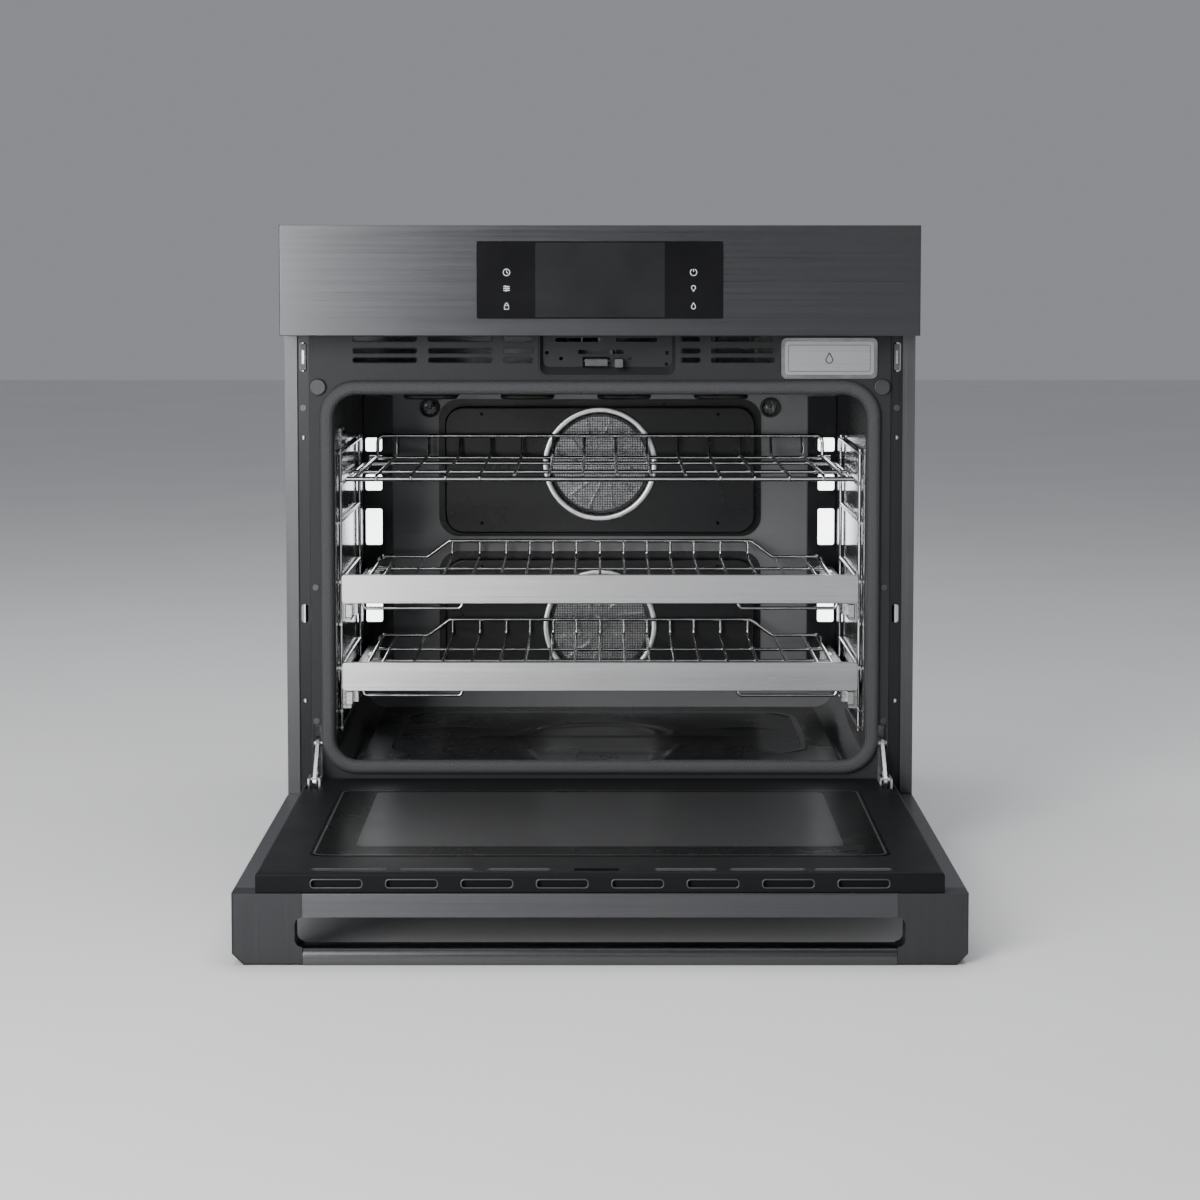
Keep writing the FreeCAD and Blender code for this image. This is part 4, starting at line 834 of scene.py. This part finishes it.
def buildDoorPrint():
    low, high = nodeBox["door_inner_glass"]
    level = high.z + doorPrint["lift"]
    half = doorPrint["windowHalf"]
    pane, line = bmesh.new(), bmesh.new()
    outline = pillOutline(-half, half, doorPrint["windowFront"], doorPrint["windowBack"],
                          doorPrint["windowRadius"], 8)
    pane.faces.new([pane.verts.new(facingUp(a, b, level)) for a, b in outline])
    inset = doorPrint["edgeInset"]
    edge = pillOutline(low.x + inset, high.x - inset, low.y + inset, high.y - inset,
                       doorPrint["edgeRadius"], 8)
    beadRing(line, edge, facingUp, high.z, doorPrint["lift"], doorPrint["line"])
    finishPiece("windowPane", pane, "windowPaintedReflection", "door", smooth=False)
    finishPiece("glassEdgeLine", line, "lip", "door")


buildDoorPrint()
print("door glass printed")

# spring clips in the side channels
clips = {
    "x": 0.3575, "low": 0.559, "high": 0.591, "half": 0.0034, "radius": 0.0015,
    "tongueHalf": 0.0013, "tongueReach": 0.008, "tongueRadius": 0.0008,
}


def buildClips():
    dark, bright = bmesh.new(), bmesh.new()
    face = nodeBox["front_trims"][1].y
    for side in (-1, 1):
        x = side * clips["x"]
        outline = pillOutline(x - clips["half"], x + clips["half"], clips["low"], clips["high"],
                              clips["radius"], 4)
        extrudeOutline(dark, outline, face - 0.0008, face + 0.0006)
        middle = (clips["low"] + clips["high"]) / 2
        half, reach = clips["tongueHalf"], clips["tongueReach"]
        outline = pillOutline(x - half, x + half, middle - reach, middle + reach,
                              clips["tongueRadius"], 3)
        extrudeOutline(bright, outline, face - 0.0022, face - 0.0006)
    finishPiece("channelClips", dark, "blackPlastic", "chassis", smooth=False)
    finishPiece("clipTongues", bright, "slide", "chassis", smooth=False)


buildClips()
print("channel clips in")

# pan-head screws that hold the shell together
shellScrews = {
    "radius": 0.0042, "height": 0.0018, "steps": 20,
    # share of the radius and of the height, from the base to the recess
    "head": ((1.0, 0.0), (0.97, 0.55), (0.7, 0.92), (0.45, 1.0)), "recess": 0.35,
    "edge": 0.012, "sideEdge": 0.014, "rearColumns": (-0.345, -0.2, 0.0, 0.2, 0.345),
    "rearRows": (0.13, 0.25, 0.37, 0.49), "sideColumns": (0.03, 0.2, 0.38, 0.56),
    "sideRows": (0.2, 0.4), "topColumns": (-0.33, -0.11, 0.11, 0.33), "topRows": (0.04, 0.56),
}


def addScrew(maker, place, outward):
    turn = Vector((0, 0, 1)).rotation_difference(Vector(outward)).to_matrix().to_4x4()
    spot = Matrix.Translation(Vector(place)) @ turn
    radius, height = shellScrews["radius"], shellScrews["height"]
    loops = []
    steps = shellScrews["steps"]
    for radiusShare, heightShare in shellScrews["head"]:
        r, h = radius * radiusShare, height * heightShare
        loop = []
        for k in range(steps):
            angle = 2 * math.pi * k / steps
            loop.append(maker.verts.new(spot @ Vector((r * math.cos(angle), r * math.sin(angle), h))))
        loops.append(loop)
    for one, other in zip(loops, loops[1:]):
        for k in range(steps):
            n = (k + 1) % steps
            maker.faces.new((one[k], one[n], other[n], other[k]))
    hub = maker.verts.new(spot @ Vector((0, 0, height * shellScrews["recess"])))
    for k in range(steps):
        maker.faces.new((loops[-1][k], loops[-1][(k + 1) % steps], hub))


def buildShellScrews():
    maker = bmesh.new()
    rear = nodeBox["rear_cover"]
    top = nodeBox["top_cover"][1].z
    sideLow, sideHigh = nodeBox["side_panels"]
    edge, sideEdge = shellScrews["edge"], shellScrews["sideEdge"]
    columns = shellScrews["rearColumns"]
    for x in columns:
        addScrew(maker, (x, rear[1].y, top - edge), (0, 1, 0))
        addScrew(maker, (x, rear[1].y, edge), (0, 1, 0))
    for z in shellScrews["rearRows"]:
        for x in (columns[0], columns[-1]):
            addScrew(maker, (x, rear[1].y, z), (0, 1, 0))
    along = shellScrews["sideColumns"]
    for side, x in ((-1, sideLow.x), (1, sideHigh.x)):
        for y in along:
            addScrew(maker, (x, y, top - sideEdge), (side, 0, 0))
            addScrew(maker, (x, y, sideEdge), (side, 0, 0))
        for z in shellScrews["sideRows"]:
            addScrew(maker, (x, along[0], z), (side, 0, 0))
            addScrew(maker, (x, along[-1], z), (side, 0, 0))
    for x in shellScrews["topColumns"]:
        for y in shellScrews["topRows"]:
            addScrew(maker, (x, y, top), (0, 0, 1))
    finishPiece("shellScrews", maker, "chrome", "chassis")


buildShellScrews()
print("shell screws in")

# stage, light and camera
stageView = {
    "distance": 3.66, "height": 0.7006, "lens": 92.6, "shift": -0.08, "tiltDegrees": 4.66,
    "floorSize": 14.0, "worldTint": (0.9, 0.93, 1.0), "worldStrength": 0.3,
    # watts, size, place and aim of each soft light
    "keyLeft": (172, (1.5, 2.4), (-1.5, -3.2, 1.3), (-0.2, 0, 0.4)),
    "fillRight": (8, (2.0, 2.6), (3.2, -2.0, 1.8), (0, 0, 0.35)),
    "topSoft": (80, (3.0, 3.0), (0, 0.2, 3.4), (0, 0, 0.2)),
    "frontLow": (5, (3.2, 1.2), (0, -4.4, 1.9), (0, 0.2, 0.3)),
}


def buildStage():
    low = cadBounds[0][2]
    mesh = bpy.data.meshes.new("studioFloor")
    maker = bmesh.new()
    bmesh.ops.create_grid(maker, x_segments=1, y_segments=1, size=stageView["floorSize"])
    maker.to_mesh(mesh)
    maker.free()
    floor = bpy.data.objects.new("studioFloor", mesh)
    floor.location = (0, 0, low)
    bpy.context.collection.objects.link(floor)
    material, tree, shader = startFinish("paleFloor", {})
    film = useGroup(tree, clouding, Size=1.5)
    wire(tree, mixColour(tree, film.outputs["Film"], (0.78, 0.78, 0.78, 1), (0.82, 0.82, 0.82, 1)),
         shader.inputs["Base Color"])
    shader.inputs["Roughness"].default_value = 0.6
    mesh.materials.append(material)


def addLight(name, energy, size, place, target):
    data = bpy.data.lights.new(name, "AREA")
    data.energy, data.shape = energy, "RECTANGLE"
    data.size, data.size_y = size
    lamp = bpy.data.objects.new(name, data)
    lamp.location = place
    lamp.rotation_euler = (Vector(target) - Vector(place)).to_track_quat("-Z", "Y").to_euler()
    bpy.context.collection.objects.link(lamp)


def buildLights():
    for name in ("keyLeft", "fillRight", "topSoft", "frontLow"):
        addLight(name, *stageView[name])
    world = bpy.data.worlds.new("studio")
    bpy.context.scene.world = world
    world.use_nodes = True
    background = world.node_tree.nodes["Background"]
    background.inputs["Color"].default_value = (*stageView["worldTint"], 1)
    background.inputs["Strength"].default_value = stageView["worldStrength"]


def buildCamera():
    panelFront = nodeBox["control_panel"][0][1]
    data = bpy.data.cameras.new("view")
    data.lens, data.sensor_width, data.shift_y = stageView["lens"], 36.0, stageView["shift"]
    camera = bpy.data.objects.new("view", data)
    camera.location = (0.0, panelFront - stageView["distance"], stageView["height"])
    camera.rotation_euler = (math.radians(90 - stageView["tiltDegrees"]), 0, 0)
    bpy.context.collection.objects.link(camera)
    bpy.context.scene.camera = camera


buildStage()
buildLights()
buildCamera()
print("stage, light and camera ready")
